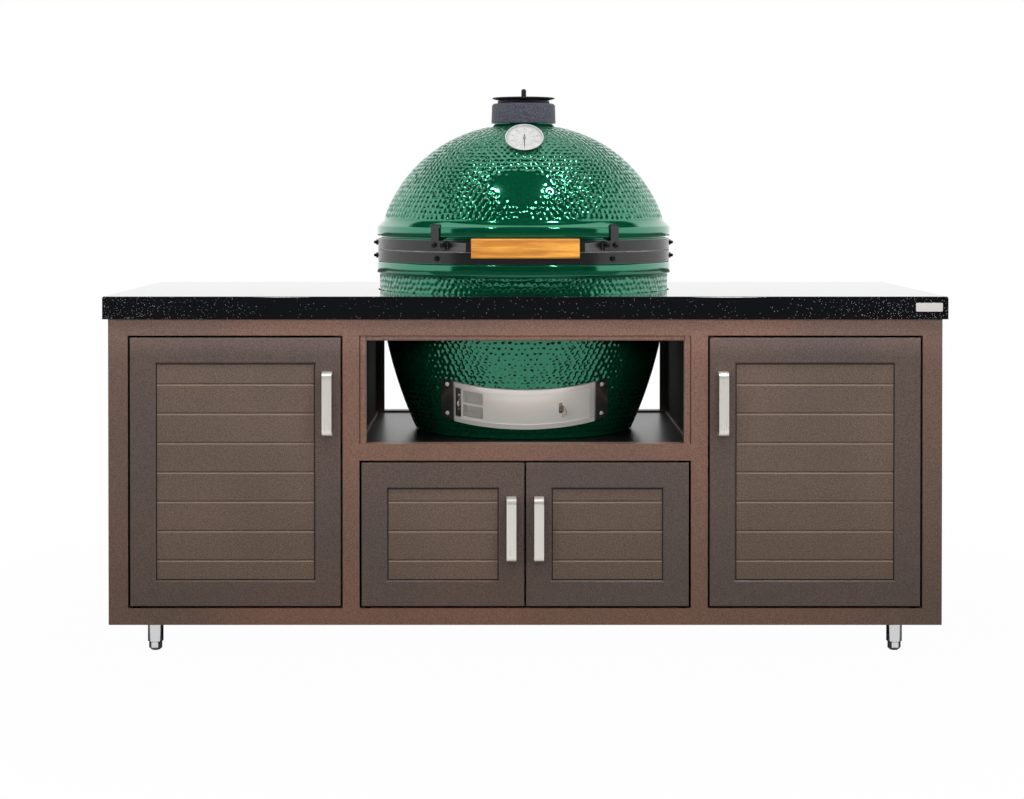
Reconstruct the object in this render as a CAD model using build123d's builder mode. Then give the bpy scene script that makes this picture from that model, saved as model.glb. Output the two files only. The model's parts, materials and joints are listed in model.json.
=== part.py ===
from build123d import *
import os
from math import cos, radians, sin, sqrt

# Driving dimensions in millimetres. X runs right, Y back, Z up, and the origin is on the floor
# below the grill's axis, at the middle of the island.

# Countertop, folded from sheet
counter_width = 1934.0
counter_depth = 813.0
counter_top = 824.0
counter_skirt = 52.0
counter_sheet = 3.0
counter_flange = 40.0
counter_corner = 8.0
counter_arris = 4.0
grill_hole_radius = 359.0

# Cabinet frame of aluminium tube
cabinet_width = 1910.0
cabinet_depth = 783.0
cabinet_bottom = 70.0
tube = 38.0
tube_wall = 2.0
outer_stile = 44.5
centre_half = 380.0
mid_rail_bottom = 447.5
sheet = 3.0
stop_show = 16.0
stop_gap = 0.5
trim_setback = 3.0
trim_depth = 12.0
trim_top_show = 12.0
trim_bevel = 2.5
shelf_top = 481.0
shelf_edge_gap = 2.0
bearer_spacing = 180.0

# Legs and levelling feet
leg_x = 858.0
leg_y = 326.0
leg_radius = 18.0
leg_wall = 2.0
leg_bottom = 21.0
leg_plate = 6.0
leg_plate_reach = 36.0
foot_corner_radius = 15.4
foot_height = 19.0
foot_chamfer = 5.0
stem_radius = 6.0
stem_top = 65.0
insert_length = 30.0

# Doors
door_gap = 5.0
centre_gap = 4.0
leaf = 22.0
member = 59.0
member_chamfer = 3.0
leaf_edge = 1.5
panel_recess = 5.0
panel_thickness = 5.0
rabbet = 8.0
groove_first = 217.5
groove_pitch = 67.4
groove_count = 7
groove_width = 5.0
groove_depth = 2.2
groove_lip = 0.8
pivot_inset = 13.0
pivot_back = 10.0
pivot_pin_radius = 4.0
pivot_pin_length = 16.0
pivot_shoulder = 8.0
pivot_hole_spare = 2.0
running = 0.05
pull_width = 22.0
pull_length = 147.0
pull_thickness = 6.0
pull_standoff = 32.0
pull_bend = 12.0
pull_below_top = 77.0
magnet_size = 12.0
magnet_gap = 1.0

# Ceramic grill, as radius and height
base_foot = (265.0, shelf_top)
base_middle = (322.5, 638.0)
base_shoulder = (354.0, 795.0)
base_neck = (355.0, 862.5)
ceramic_wall = 22.0
rim_radius = 361.5
rim_edge = 2.5
rim_shoulder = 3.5
groove_radius = 351.0
groove_bevel = 1.0
band_seat = 356.0
base_rim = (865.8, 893.0)
base_lip = 921.0
lid_lip = 925.0
lid_groove = 4.0
lid_rim = (956.5, 982.5)
dome_centre = (22.7, 891.0)
dome_radius = 338.65
dome_start = 994.0
dome_wall = 20.0
neck_radius = 72.0
neck_flare = (7.0, 4.0)
neck_top = 1262.0
chimney_radius = 52.0
gasket_inner = 341.0
gasket_outer = 355.0
gasket_gap = 0.1
band_outer = 359.0
band_thickness = 2.5
base_band_low, base_band_high = 895.0, 921.5
lid_band_low, lid_band_high = 924.5, 950.0
base_bolt_z = 907.5
lid_bolt_z = 939.5

# Lid handle
clip_angle = 35.0
clip_width = 23.0
clip_thickness = 3.0
clip_low, clip_high = 928.0, 982.5
clip_hook = 7.5
clip_hook_rise = 3.5
clip_foot_top = 949.0
clip_foot_reach = 29.0
clip_bolt_shifts = (-3.0, 21.0)
arm_thickness = 4.0
arm_low, arm_high = 926.5, 946.0
arm_spread = 6.5
arm_lap = 1.0
grip_size = (247.0, 32.0, 44.8)
grip_y = -413.0
grip_z = 933.5
grip_round = 5.0
grip_end_round = 1.5
boss_length = 12.0
boss_size = 22.0

# Rear hinge of the lid
hinge_y = 406.0
hinge_z = 923.0
hinge_pin_radius = 5.0
hinge_eye = 14.0
hinge_spread = 20.0
hinge_plate = 4.0
hinge_seam_gap = 1.5
ear_inset = 2.0
ear_waist = 0.9
base_ear_x = 70.0
lid_ear_x = 58.0
ear_thickness = 6.0
spring_radius = 12.0
spring_wire = 4.0
spring_pitch = 5.5
spring_turns = 4
spring_start = 24.0
spring_leg_gap = 0.4

# Fire parts inside the base
fire_floor = 511.0
fire_box_top = 700.0
fire_ring_top = 795.0
grid_radius = 298.0
grid_pitch = 22.0
grid_bar = 5.0
grid_rim = 10.0
grid_height = 8.0
grid_bar_end = 4.0
grate_radius = 128.0
grate_thickness = 8.0
grate_slot = (150.0, 10.0)
grate_slot_pitch = 24.0
grate_slots = 7
grate_ledge = 18.0
fire_box_floor = 24.0
fire_box_foot = (206.0, 222.0)
fire_box_mouth = (266.0, 288.0)
fire_box_port = (120.0, 140.0, 60.0)
fire_box_port_y = -230.0
fire_box_port_rise = 62.0
fire_ring_radii = (276.0, 300.0)

# Draft slide on the front of the base: a cylinder that leans out with the wall
draft_height = 655.2
draft_lean = 18.9
seat_radius = 307.5
seat_angle = 40.6
seat_half = 52.0
seat_cut = 60.0
port_cut = 90.0
plate_radii = (307.6, 309.0)
plate_angle = 39.6
plate_half = 50.0
tab_corner = 9.0
tab_slot = (14.0, 5.0)
tab_slot_angles = (-35.5, 36.9)
tab_slot_half = 37.0
rail_angle = 32.0
rail_web = 46.0
rail_lip = 38.0
rail_radii = (312.6, 314.0)
port_angles = (-28.5, 6.0)
port_half = 33.0
screen_radii = (309.4, 310.4)
screen_angles = (-31.6, -6.0)
screen_window = (-27.8, -18.4)
screen_bar = 3.0
screen_handle_angle = -30.2
door_radii = (310.9, 312.1)
door_angles = (-18.2, 29.4)
slide_half = 45.5
door_handle_angle = 15.6
# Each slide's handle: foot length, gap between its rivets, then the leaf's middle, length, reach and lean
screen_handle = (46.0, 35.0, 0.0, 19.0, 12.0, 0.0)
door_handle = (27.0, 13.0, -9.0, 32.0, 15.0, 25.0)
handle_sheet = 1.5
handle_foot_width = 9.0
handle_sink = 0.2
rivet_radius = 3.0
rivet_height = 1.4
rivet_taper = 25.0

# Vent on the chimney
collar_radius = 79.4
collar_draft = 1.4
collar_chamfer = 4.0
collar_throat = 60.0
collar_step = (54.0, 8.0)
collar_fit = 1.0
collar_low, collar_top = 1233.0, 1281.0
vent_plate_radius = 64.0
vent_plate_low, vent_plate_high = 1281.3, 1288.0
vent_pivot_radius = 67.0
vent_wheel_radius = 77.0
vent_wheel_low, vent_wheel_high = 1290.3, 1296.0
vent_wheel_round = 2.0
vent_wheel_under = (2.8, 12.0)
vent_pin_radius = 5.0
vent_pin_head = 2.5
vent_play_below, vent_play_above = 0.2, 0.3
vent_ear = 8.0
vent_holes = 6
vent_hole_radius = 10.0
vent_hole_circle = 42.0
vent_knob_y = -55.0
vent_knob_radius = 6.0
vent_knob_top = 1315.0
vent_knob_round = 5.0

# Thermometer in the lid
dial_centre = (0.0, -205.1, 1193.7)
dial_elevation = 46.0
dial_radius = 45.5
dial_face_radius = 42.5
dial_thickness = 0.6
dial_clear = 0.5
case_depth = 6.0
case_back_taper = 60.0
probe_radius = 4.0
probe_length = 70.0
needle_length = 33.0
needle_tail = 12.0
needle_half = 1.6
needle_tip_half = 0.5
needle_hub = 3.6
needle_depth = 3.6
needle_thickness = 0.6
spindle_depth = 2.4
glass_depth = 1.9
glass_thickness = 1.5
probe_clear = 1.0

# Places worked out from the driving dimensions
cabinet_top = counter_top - counter_skirt
half_width = cabinet_width / 2
front_face = -cabinet_depth / 2
frame_back = front_face + tube
tube_y = -front_face - tube / 2
side_near = centre_half + tube
side_far = half_width - outer_stile
top_rail_z = cabinet_top - tube / 2
bottom_rail_z = cabinet_bottom + tube / 2
mid_rail_z = mid_rail_bottom + tube / 2
opening_bottom = cabinet_bottom + tube
opening_top = cabinet_top - tube
niche_bottom = mid_rail_bottom + tube
front_plane = Plane.XZ.offset(-front_face)
pivot_y = front_face + pivot_back
draft_plane = Plane(
    origin=(0, 0, draft_height),
    x_dir=(1, 0, 0),
    z_dir=(0, -sin(radians(draft_lean)), cos(radians(draft_lean))),
)
dial_plane = Plane(
    origin=dial_centre,
    x_dir=(1, 0, 0),
    z_dir=(0, -cos(radians(dial_elevation)), sin(radians(dial_elevation))),
)

os.makedirs("parts", exist_ok=True)


def write(part, name):
    """Label a finished piece and write it as its own STEP file."""
    part.label = name
    export_step(part, f"parts/{name}.step")


def square_tube(size, along):
    """Hollow tube of the given outer size, open at both ends of one axis, centred on the origin."""
    bore = [side - 2 * tube_wall for side in size]
    bore[along] = size[along]
    with BuildPart() as piece:
        Box(*size)
        Box(*bore, mode=Mode.SUBTRACT)
    return piece.part


def ring(outer, inner, low, high):
    """Round ring about the grill's axis."""
    with BuildPart() as piece:
        with BuildSketch(Plane.XY.offset(low)):
            Circle(outer)
            Circle(inner, mode=Mode.SUBTRACT)
        extrude(amount=high - low)
    return piece.part


def bent_strip(plane, inner, outer, start, end, low, high):
    """Strip bent round a plane's axis, with angles counted from the front towards the right."""
    with BuildPart() as piece:
        with BuildSketch(plane.offset(low)):
            with BuildLine():
                far = CenterArc((0, 0), outer, start - 90, end - start)
                near = CenterArc((0, 0), inner, start - 90, end - start)
                Line(far @ 0, near @ 0)
                Line(far @ 1, near @ 1)
            make_face()
        extrude(amount=high - low)
    return piece.part


def outward_plane(plane, radius, angle, height=0.0):
    """Plane that faces straight out of a bent strip at an angle from the front."""
    outward = Vector(sin(radians(angle)), -cos(radians(angle)), 0)
    foot = plane.from_local_coords(outward * radius + Vector(0, 0, height))
    tip = plane.from_local_coords(outward * (radius + 1) + Vector(0, 0, height))
    return Plane(origin=foot, x_dir=plane.z_dir, z_dir=tip - foot)


def cap_bolts(places):
    """Nuts with domed caps that stand out of the bands, given as radius, angle, height and shift along."""
    nut_radius, nut_height, cap_radius, cap_height, cap_taper = 6.8, 5.0, 4.8, 6.0, 18
    with BuildPart() as piece:
        for radius, angle, height, shift in places:
            seat = outward_plane(Plane.XY, radius, angle, height)
            with BuildSketch(seat):
                with Locations((0, shift)):
                    RegularPolygon(nut_radius, 6)
            extrude(amount=nut_height)
            with BuildSketch(seat.offset(nut_height)):
                with Locations((0, shift)):
                    Circle(cap_radius)
            extrude(amount=cap_height, taper=cap_taper)
    return piece.part


# Cabinet frame
stile_height = cabinet_top - cabinet_bottom
stile_middle = (cabinet_top + cabinet_bottom) / 2
opening_height = opening_top - opening_bottom
opening_middle = (opening_top + opening_bottom) / 2
with BuildPart() as stiles:
    for x in (-1, 1):
        for y in (-1, 1):
            with Locations((x * (half_width - outer_stile / 2), y * tube_y, stile_middle)):
                add(square_tube((outer_stile, tube, stile_height), 2))
            with Locations((x * (centre_half + tube / 2), y * tube_y, opening_middle)):
                add(square_tube((tube, tube, opening_height), 2))
write(stiles.part, "stiles")

with BuildPart() as cross_rails:
    for y in (-tube_y, tube_y):
        with Locations((0, y, top_rail_z), (0, y, bottom_rail_z)):
            add(square_tube((2 * side_far, tube, tube), 0))
        with Locations((0, y, mid_rail_z)):
            add(square_tube((2 * centre_half, tube, tube), 0))
write(cross_rails.part, "cross_rails")

depth_rail_length = -2 * frame_back
with BuildPart() as depth_rails:
    for x in (-1, 1):
        outer_x, inner_x = x * (half_width - tube / 2), x * (centre_half + tube / 2)
        with Locations(*[(outer_x, 0, z) for z in (top_rail_z, bottom_rail_z)]):
            add(square_tube((tube, depth_rail_length, tube), 1))
        with Locations(*[(inner_x, 0, z) for z in (top_rail_z, mid_rail_z, bottom_rail_z)]):
            add(square_tube((tube, depth_rail_length, tube), 1))
write(depth_rails.part, "depth_rails")

# Sheet panels that close the cabinet
side_inset = 5.0
back_inset = 5.0
partition_inset = 6.5
with BuildPart() as side_panels:
    with Locations(*[(x * (half_width - side_inset), 0, opening_middle) for x in (-1, 1)]):
        Box(sheet, depth_rail_length, opening_height)
write(side_panels.part, "side_panels")

with BuildPart() as back_panels:
    back_y = -front_face - back_inset
    with Locations(*[(x * (side_near + side_far) / 2, back_y, opening_middle) for x in (-1, 1)]):
        Box(side_far - side_near, sheet, opening_height)
    with Locations((0, back_y, (opening_bottom + mid_rail_bottom) / 2)):
        Box(2 * centre_half, sheet, mid_rail_bottom - opening_bottom)
write(back_panels.part, "back_panels")

with BuildPart() as partitions:
    partition_depth = depth_rail_length - 2 * sheet - 2 * stop_gap
    for low, high in ((niche_bottom, opening_top), (opening_bottom, mid_rail_bottom)):
        with Locations(*[(x * (centre_half + partition_inset), 0, (low + high) / 2) for x in (-1, 1)]):
            Box(sheet, partition_depth, high - low)
write(partitions.part, "partitions")

with BuildPart() as cabinet_floor:
    floor_z = opening_bottom - sheet / 2
    side_floor = half_width - tube - side_near
    with Locations(*[(x * (side_near + side_floor / 2), 0, floor_z) for x in (-1, 1)]):
        Box(side_floor, depth_rail_length, sheet)
    with Locations((0, 0, floor_z)):
        Box(2 * centre_half, depth_rail_length, sheet)
write(cabinet_floor.part, "cabinet_floor")

# Shelf that carries the grill
with BuildPart() as shelf_bearers:
    with Locations(*[(0, y, shelf_top - sheet - tube / 2) for y in (-bearer_spacing, 0, bearer_spacing)]):
        add(square_tube((2 * centre_half, tube, tube), 0))
write(shelf_bearers.part, "shelf_bearers")

with BuildPart() as grill_shelf:
    with Locations((0, 0, shelf_top - sheet / 2)):
        Box(2 * (centre_half - shelf_edge_gap), depth_rail_length - 2 * sheet - 2 * stop_gap, sheet)
write(grill_shelf.part, "grill_shelf")

# Trim bars round the front of the niche, and stops fixed behind the other tubes
niche_height = opening_top - niche_bottom
niche_middle = (niche_bottom + opening_top) / 2
stop_width = 2 * stop_show
stop_y = -frame_back - sheet / 2
top_stop_half = centre_half - stop_show - stop_gap
with BuildPart() as opening_stops:
    trim_y = front_face + trim_setback + trim_depth / 2
    with Locations(*[(x * (centre_half - stop_show / 2), trim_y, niche_middle) for x in (-1, 1)]):
        Box(stop_show, trim_depth, niche_height)
    with Locations((0, trim_y, opening_top - trim_top_show / 2)):
        Box(2 * top_stop_half, trim_depth, trim_top_show)
    trim_edges = opening_stops.faces().group_by(Axis.Y)[0].edges()
    chamfer(trim_edges.filter_by(lambda edge: edge.length > stop_width), trim_bevel)
    with Locations(*[(x * centre_half, stop_y, niche_middle) for x in (-1, 1)]):
        Box(stop_width, sheet, niche_height - 2 * stop_gap)
    with Locations((0, stop_y, opening_top)):
        Box(2 * top_stop_half, sheet, stop_width)
    for low, high in ((niche_bottom, opening_top), (opening_bottom, mid_rail_bottom)):
        with Locations(*[(x * side_near, -stop_y, (low + high) / 2) for x in (-1, 1)]):
            Box(stop_width, sheet, high - low - 2 * stop_gap)
    with Locations((0, -stop_y, mid_rail_bottom)):
        Box(2 * top_stop_half, sheet, stop_width)
write(opening_stops.part, "opening_stops")

magnet_depth = tube - leaf - running
magnet_y = frame_back - magnet_depth / 2
with BuildPart() as magnet_catches:
    for x in (-1, 1):
        with Locations(
            (x * (side_near + magnet_size / 2 + magnet_gap), magnet_y, opening_middle),
            (x * 2 * magnet_size, magnet_y, mid_rail_bottom - magnet_size / 2 - magnet_gap),
        ):
            Box(magnet_size, magnet_depth, magnet_size)
write(magnet_catches.part, "magnet_catches")

# Legs: tube with a plate welded into the frame's corner, and a threaded insert in its end
with BuildPart() as leg_tubes:
    with BuildSketch(Plane.XY.offset(leg_bottom)):
        with Locations((leg_x, leg_y)):
            Circle(leg_radius)
            Circle(leg_radius - leg_wall, mode=Mode.SUBTRACT)
    extrude(amount=cabinet_bottom - leg_bottom)
    with BuildSketch(Plane.XY.offset(cabinet_bottom)):
        with BuildLine():
            Polyline(
                (leg_x - leg_plate_reach, leg_y - leg_plate_reach),
                (half_width - tube, leg_y - leg_plate_reach),
                (half_width - tube, -frame_back),
                (leg_x - leg_plate_reach, -frame_back),
                close=True,
            )
        make_face()
    extrude(amount=leg_plate)
    mirror(about=Plane.XZ)
    mirror(about=Plane.YZ)
write(leg_tubes.part, "leg_tubes")

with BuildPart() as leg_inserts:
    with BuildSketch(Plane.XY.offset(leg_bottom)):
        with GridLocations(2 * leg_x, 2 * leg_y, 2, 2):
            Circle(leg_radius - leg_wall)
            Circle(stem_radius + running, mode=Mode.SUBTRACT)
    extrude(amount=insert_length)
write(leg_inserts.part, "leg_inserts")

for side, x in (("left", -leg_x), ("right", leg_x)):
    for place, y in (("front", -leg_y), ("rear", leg_y)):
        with BuildPart() as foot:
            with BuildSketch():
                with Locations((x, y)):
                    RegularPolygon(foot_corner_radius, 6)
            extrude(amount=foot_height)
            chamfer(foot.faces().sort_by(Axis.Z)[0].edges(), foot_chamfer)
            with BuildSketch(Plane.XY.offset(foot_height)):
                with Locations((x, y)):
                    Circle(stem_radius)
            extrude(amount=stem_top - foot_height)
        write(foot.part, f"foot_{place}_{side}")

# Countertop with a turned-in flange that lies on the cabinet's top rails
with BuildPart() as countertop:
    with BuildSketch(Plane.XY.offset(cabinet_top)):
        RectangleRounded(counter_width, counter_depth, counter_corner)
    extrude(amount=counter_skirt)
    fillet(countertop.faces().sort_by(Axis.Z)[-1].edges(), counter_arris)
    with BuildSketch(Plane.XY.offset(cabinet_top + counter_sheet)):
        Rectangle(counter_width - 2 * counter_sheet, counter_depth - 2 * counter_sheet)
    extrude(amount=counter_skirt - 2 * counter_sheet, mode=Mode.SUBTRACT)
    with BuildSketch(Plane.XY.offset(cabinet_top)):
        Rectangle(counter_width - 2 * counter_flange, counter_depth - 2 * counter_flange)
    extrude(amount=counter_sheet, mode=Mode.SUBTRACT)
    with BuildSketch(Plane.XY.offset(counter_top - counter_sheet)):
        Circle(grill_hole_radius)
    extrude(amount=counter_sheet, mode=Mode.SUBTRACT)
write(countertop.part, "countertop")


def door_frame(left, right, bottom, top, pivot_x):
    """Leaf frame with a rabbet behind for the panel and a pivot hole in each end."""
    middle = ((left + right) / 2, (bottom + top) / 2)
    sight = (right - left - 2 * member, top - bottom - 2 * member)
    with BuildPart() as frame:
        with BuildSketch(front_plane):
            with Locations(middle):
                Rectangle(right - left, top - bottom)
        extrude(amount=-leaf)
        fillet(frame.faces().sort_by(Axis.Y)[0].edges(), leaf_edge)
        with BuildSketch(front_plane):
            with Locations(middle):
                Rectangle(*sight)
        extrude(amount=-leaf, mode=Mode.SUBTRACT)
        chamfer(frame.faces().sort_by(Axis.Y)[0].inner_wires()[0].edges(), member_chamfer)
        with BuildSketch(front_plane.offset(-panel_recess)):
            with Locations(middle):
                Rectangle(*[side + 2 * rabbet for side in sight])
        extrude(amount=panel_recess - leaf, mode=Mode.SUBTRACT)
        with Locations((pivot_x, pivot_y, bottom), (pivot_x, pivot_y, top)):
            Cylinder(
                pivot_pin_radius + running, 2 * (pivot_pin_length + pivot_hole_spare), mode=Mode.SUBTRACT
            )
    return frame.part


def door_panel(left, right, bottom, top):
    """Flat panel in the rabbet, with level grooves that have a short upper step and a long lower slope."""
    reach = rabbet - member
    middle = ((left + right) / 2, (bottom + top) / 2)
    face_y = front_face + panel_recess
    with BuildPart() as panel:
        with BuildSketch(front_plane.offset(-panel_recess)):
            with Locations(middle):
                Rectangle(right - left + 2 * reach, top - bottom + 2 * reach)
        extrude(amount=-panel_thickness)
        for number in range(groove_count):
            z = groove_first + number * groove_pitch
            if z < top - member:
                with BuildSketch(Plane.YZ.offset(middle[0])):
                    with BuildLine():
                        Polyline(
                            (face_y, z - groove_width / 2),
                            (face_y + groove_depth, z + groove_width / 2 - groove_lip),
                            (face_y, z + groove_width / 2),
                            close=True,
                        )
                    make_face()
                extrude(amount=(right - left) / 2 - member + rabbet, both=True, mode=Mode.SUBTRACT)
    return panel.part


def door_pull(x, high):
    """Flat bar bent to a U, with its two ends on the leaf."""
    inset = pull_thickness / 2
    out_y = front_face - pull_standoff + inset
    with BuildPart() as pull:
        with BuildSketch(Plane.YZ.offset(x - pull_width / 2)):
            with BuildLine():
                FilletPolyline(
                    (front_face, high - inset),
                    (out_y, high - inset),
                    (out_y, high - pull_length + inset),
                    (front_face, high - pull_length + inset),
                    radius=pull_bend,
                )
            trace(line_width=pull_thickness)
        extrude(amount=pull_width)
    return pull.part


# Four doors, each with its hinge edge first and its latch edge second
doors = (
    ("left_door", -side_far + door_gap, -side_near - door_gap, opening_top - door_gap),
    ("right_door", side_far - door_gap, side_near + door_gap, opening_top - door_gap),
    ("left_centre_door", -centre_half + door_gap, -centre_gap / 2, mid_rail_bottom - door_gap),
    ("right_centre_door", centre_half - door_gap, centre_gap / 2, mid_rail_bottom - door_gap),
)
door_bottom = opening_bottom + door_gap
pivot_places = []
for name, hinge_x, latch_x, door_top in doors:
    inwards = 1 if latch_x > hinge_x else -1
    left, right = min(hinge_x, latch_x), max(hinge_x, latch_x)
    pivot_x = hinge_x + inwards * pivot_inset
    pivot_places += [(pivot_x, door_bottom, 1), (pivot_x, door_top, -1)]
    write(door_frame(left, right, door_bottom, door_top, pivot_x), f"{name}_frame")
    write(door_panel(left, right, door_bottom, door_top), f"{name}_panel")
    write(door_pull(latch_x - inwards * member / 2, door_top - pull_below_top), f"{name}_pull")

shoulder_clear = 0.3
with BuildPart() as door_pivot_pins:
    for x, z, upwards in pivot_places:
        rail_side = z - upwards * door_gap
        with BuildSketch(Plane.XY.offset(rail_side)):
            with Locations((x, pivot_y)):
                Circle(pivot_shoulder)
        extrude(amount=upwards * (door_gap - shoulder_clear))
        with BuildSketch(Plane.XY.offset(rail_side)):
            with Locations((x, pivot_y)):
                Circle(pivot_pin_radius)
        extrude(amount=upwards * (door_gap + pivot_pin_length))
write(door_pivot_pins.part, "door_pivot_pins")

# Ceramic base, turned, with a seat and an air port for the draft slide
with BuildPart() as kamado_base:
    with BuildSketch(Plane.XZ):
        with BuildLine():
            Line((0, shelf_top), base_foot)
            ThreePointArc(base_foot, base_middle, base_shoulder)
            Polyline(
                base_shoulder,
                base_neck,
                (groove_radius, base_neck[1] + groove_bevel),
                (groove_radius, base_rim[0]),
                (rim_radius - rim_edge, base_rim[0]),
                (rim_radius, base_rim[0] + rim_edge),
                (rim_radius, base_rim[1] - rim_shoulder),
                (rim_radius - rim_shoulder, base_rim[1]),
                (band_seat, base_rim[1] + groove_bevel),
                (band_seat, base_lip),
                (base_shoulder[0] - ceramic_wall, base_lip),
                (base_shoulder[0] - ceramic_wall, base_shoulder[1]),
            )
            ThreePointArc(
                (base_shoulder[0] - ceramic_wall, base_shoulder[1]),
                (base_middle[0] - ceramic_wall, base_middle[1]),
                (base_foot[0] - ceramic_wall, fire_floor),
            )
            Polyline((base_foot[0] - ceramic_wall, fire_floor), (0, fire_floor), (0, shelf_top))
        make_face()
    revolve(axis=Axis.Z)
    seat_radii = (seat_radius, seat_radius + seat_cut)
    port_radii = (seat_radius - port_cut, seat_radius + seat_cut)
    add(
        bent_strip(draft_plane, *seat_radii, -seat_angle, seat_angle, -seat_half, seat_half),
        mode=Mode.SUBTRACT,
    )
    add(bent_strip(draft_plane, *port_radii, *port_angles, -port_half, port_half), mode=Mode.SUBTRACT)
write(kamado_base.part, "kamado_base")

# Ceramic lid: rim, dome and chimney neck, with a hole for the thermometer's probe
inner_radius = dome_radius - dome_wall


def dome_r(z, radius):
    """Radius of the dome's arc at a height."""
    return dome_centre[0] + sqrt(radius**2 - (z - dome_centre[1]) ** 2)


def dome_z(r, radius):
    """Height of the dome's arc at a radius."""
    return dome_centre[1] + sqrt(radius**2 - (r - dome_centre[0]) ** 2)


neck_foot = neck_radius + neck_flare[0]
neck_foot_z = dome_z(neck_foot, dome_radius)
arc_middle_z = 1137.0
with BuildPart() as kamado_lid:
    with BuildSketch(Plane.XZ):
        with BuildLine():
            Polyline(
                (dome_r(lid_lip, inner_radius), lid_lip),
                (band_seat, lid_lip),
                (band_seat, lid_rim[0] - lid_groove - groove_bevel),
                (groove_radius, lid_rim[0] - lid_groove),
                (groove_radius, lid_rim[0]),
                (rim_radius - rim_edge, lid_rim[0]),
                (rim_radius, lid_rim[0] + rim_edge),
                (rim_radius, lid_rim[1] - rim_shoulder),
                (rim_radius - rim_shoulder, lid_rim[1]),
                (dome_r(dome_start, dome_radius), dome_start),
            )
            ThreePointArc(
                (dome_r(dome_start, dome_radius), dome_start),
                (dome_r(arc_middle_z, dome_radius), arc_middle_z),
                (neck_foot, neck_foot_z),
            )
            Polyline(
                (neck_foot, neck_foot_z),
                (neck_radius, neck_foot_z + neck_flare[1]),
                (neck_radius, neck_top),
                (chimney_radius, neck_top),
                (chimney_radius, dome_z(chimney_radius, inner_radius)),
            )
            ThreePointArc(
                (chimney_radius, dome_z(chimney_radius, inner_radius)),
                (dome_r(arc_middle_z - dome_wall, inner_radius), arc_middle_z - dome_wall),
                (dome_r(lid_lip, inner_radius), lid_lip),
            )
        make_face()
    revolve(axis=Axis.Z)
    with BuildSketch(dial_plane):
        Circle(probe_radius + probe_clear)
    extrude(amount=-probe_length, mode=Mode.SUBTRACT)
write(kamado_lid.part, "kamado_lid")

seam = (base_lip + lid_lip) / 2
write(ring(gasket_outer, gasket_inner, base_lip, seam - gasket_gap), "base_gasket")
write(ring(gasket_outer, gasket_inner, seam + gasket_gap, lid_lip), "lid_gasket")
write(ring(band_outer, band_outer - band_thickness, base_band_low, base_band_high), "base_band")
write(ring(band_outer, band_outer - band_thickness, lid_band_low, lid_band_high), "lid_band")

# Handle on the front of the lid
clip_radius = band_outer + arm_thickness
arm_radius = band_outer + arm_thickness / 2
with BuildPart() as handle_arms:
    for side in (-1, 1):
        middle = side * clip_angle
        add(
            bent_strip(
                Plane.XY, band_outer, clip_radius, middle - arm_spread, middle + arm_spread, arm_low, arm_high
            )
        )
        bend = radians(clip_angle - arm_spread + arm_lap)
        boss_x = side * (grip_size[0] / 2 + boss_length / 2)
        with BuildSketch(Plane.XY.offset(arm_low)):
            with BuildLine():
                Line(
                    (side * arm_radius * sin(bend), -arm_radius * cos(bend)),
                    (boss_x, grip_y),
                )
            trace(line_width=arm_thickness)
        extrude(amount=arm_high - arm_low)
        with Locations((boss_x, grip_y, (arm_low + arm_high) / 2)):
            Box(boss_length, boss_size, boss_size)
write(handle_arms.part, "handle_arms")

with BuildPart() as handle_grip:
    with Locations((0, grip_y, grip_z)):
        Box(*grip_size)
    fillet(handle_grip.edges().filter_by(Axis.X), grip_round)
    fillet(handle_grip.faces().filter_by(Axis.X).edges(), grip_end_round)
write(handle_grip.part, "handle_grip")

with BuildPart() as handle_clips:
    for side in (-1, 1):
        across = radians(side * clip_angle)
        strap_plane = Plane(
            origin=(0, 0, 0), x_dir=(sin(across), -cos(across), 0), z_dir=(cos(across), sin(across), 0)
        )
        strap_radius = clip_radius + clip_thickness / 2
        lift = strap_plane.z_dir.cross(strap_plane.x_dir).Z
        with BuildSketch(strap_plane.offset(-clip_width / 2)):
            with BuildLine():
                FilletPolyline(
                    (strap_radius, lift * clip_low),
                    (strap_radius, lift * clip_high),
                    (strap_radius - clip_hook, lift * (clip_high + clip_hook_rise)),
                    radius=clip_thickness,
                )
            trace(line_width=clip_thickness)
        extrude(amount=clip_width)
        with BuildSketch(outward_plane(Plane.XY, clip_radius, side * clip_angle, clip_low)):
            with Locations(((clip_foot_top - clip_low) / 2, side * clip_foot_reach / 2)):
                Rectangle(clip_foot_top - clip_low, clip_foot_reach)
        extrude(amount=clip_thickness)
write(handle_clips.part, "handle_clips")

# Rear hinge: two brackets on the bands, a pin and a pair of lift springs
bracket_outer = band_outer + hinge_plate


def hinge_bracket(low, high, ear_x, foot_y):
    """Plate round the back of a band with two ears that reach the pin."""
    with BuildPart() as bracket:
        spread = (180 - hinge_spread, 180 + hinge_spread)
        add(bent_strip(Plane.XY, band_outer, bracket_outer, *spread, low, high))
        for side in (-1, 1):
            with BuildSketch(Plane.YZ.offset(side * ear_x - ear_thickness / 2)):
                with BuildLine():
                    Polyline(
                        (foot_y, low + ear_inset),
                        (hinge_y, hinge_z - hinge_eye * ear_waist),
                        (hinge_y, hinge_z + hinge_eye * ear_waist),
                        (foot_y, high - ear_inset),
                        close=True,
                    )
                make_face()
                with Locations((hinge_y, hinge_z)):
                    Circle(hinge_eye)
                    Circle(hinge_pin_radius + running, mode=Mode.SUBTRACT)
            extrude(amount=ear_thickness)
    return bracket.part


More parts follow.
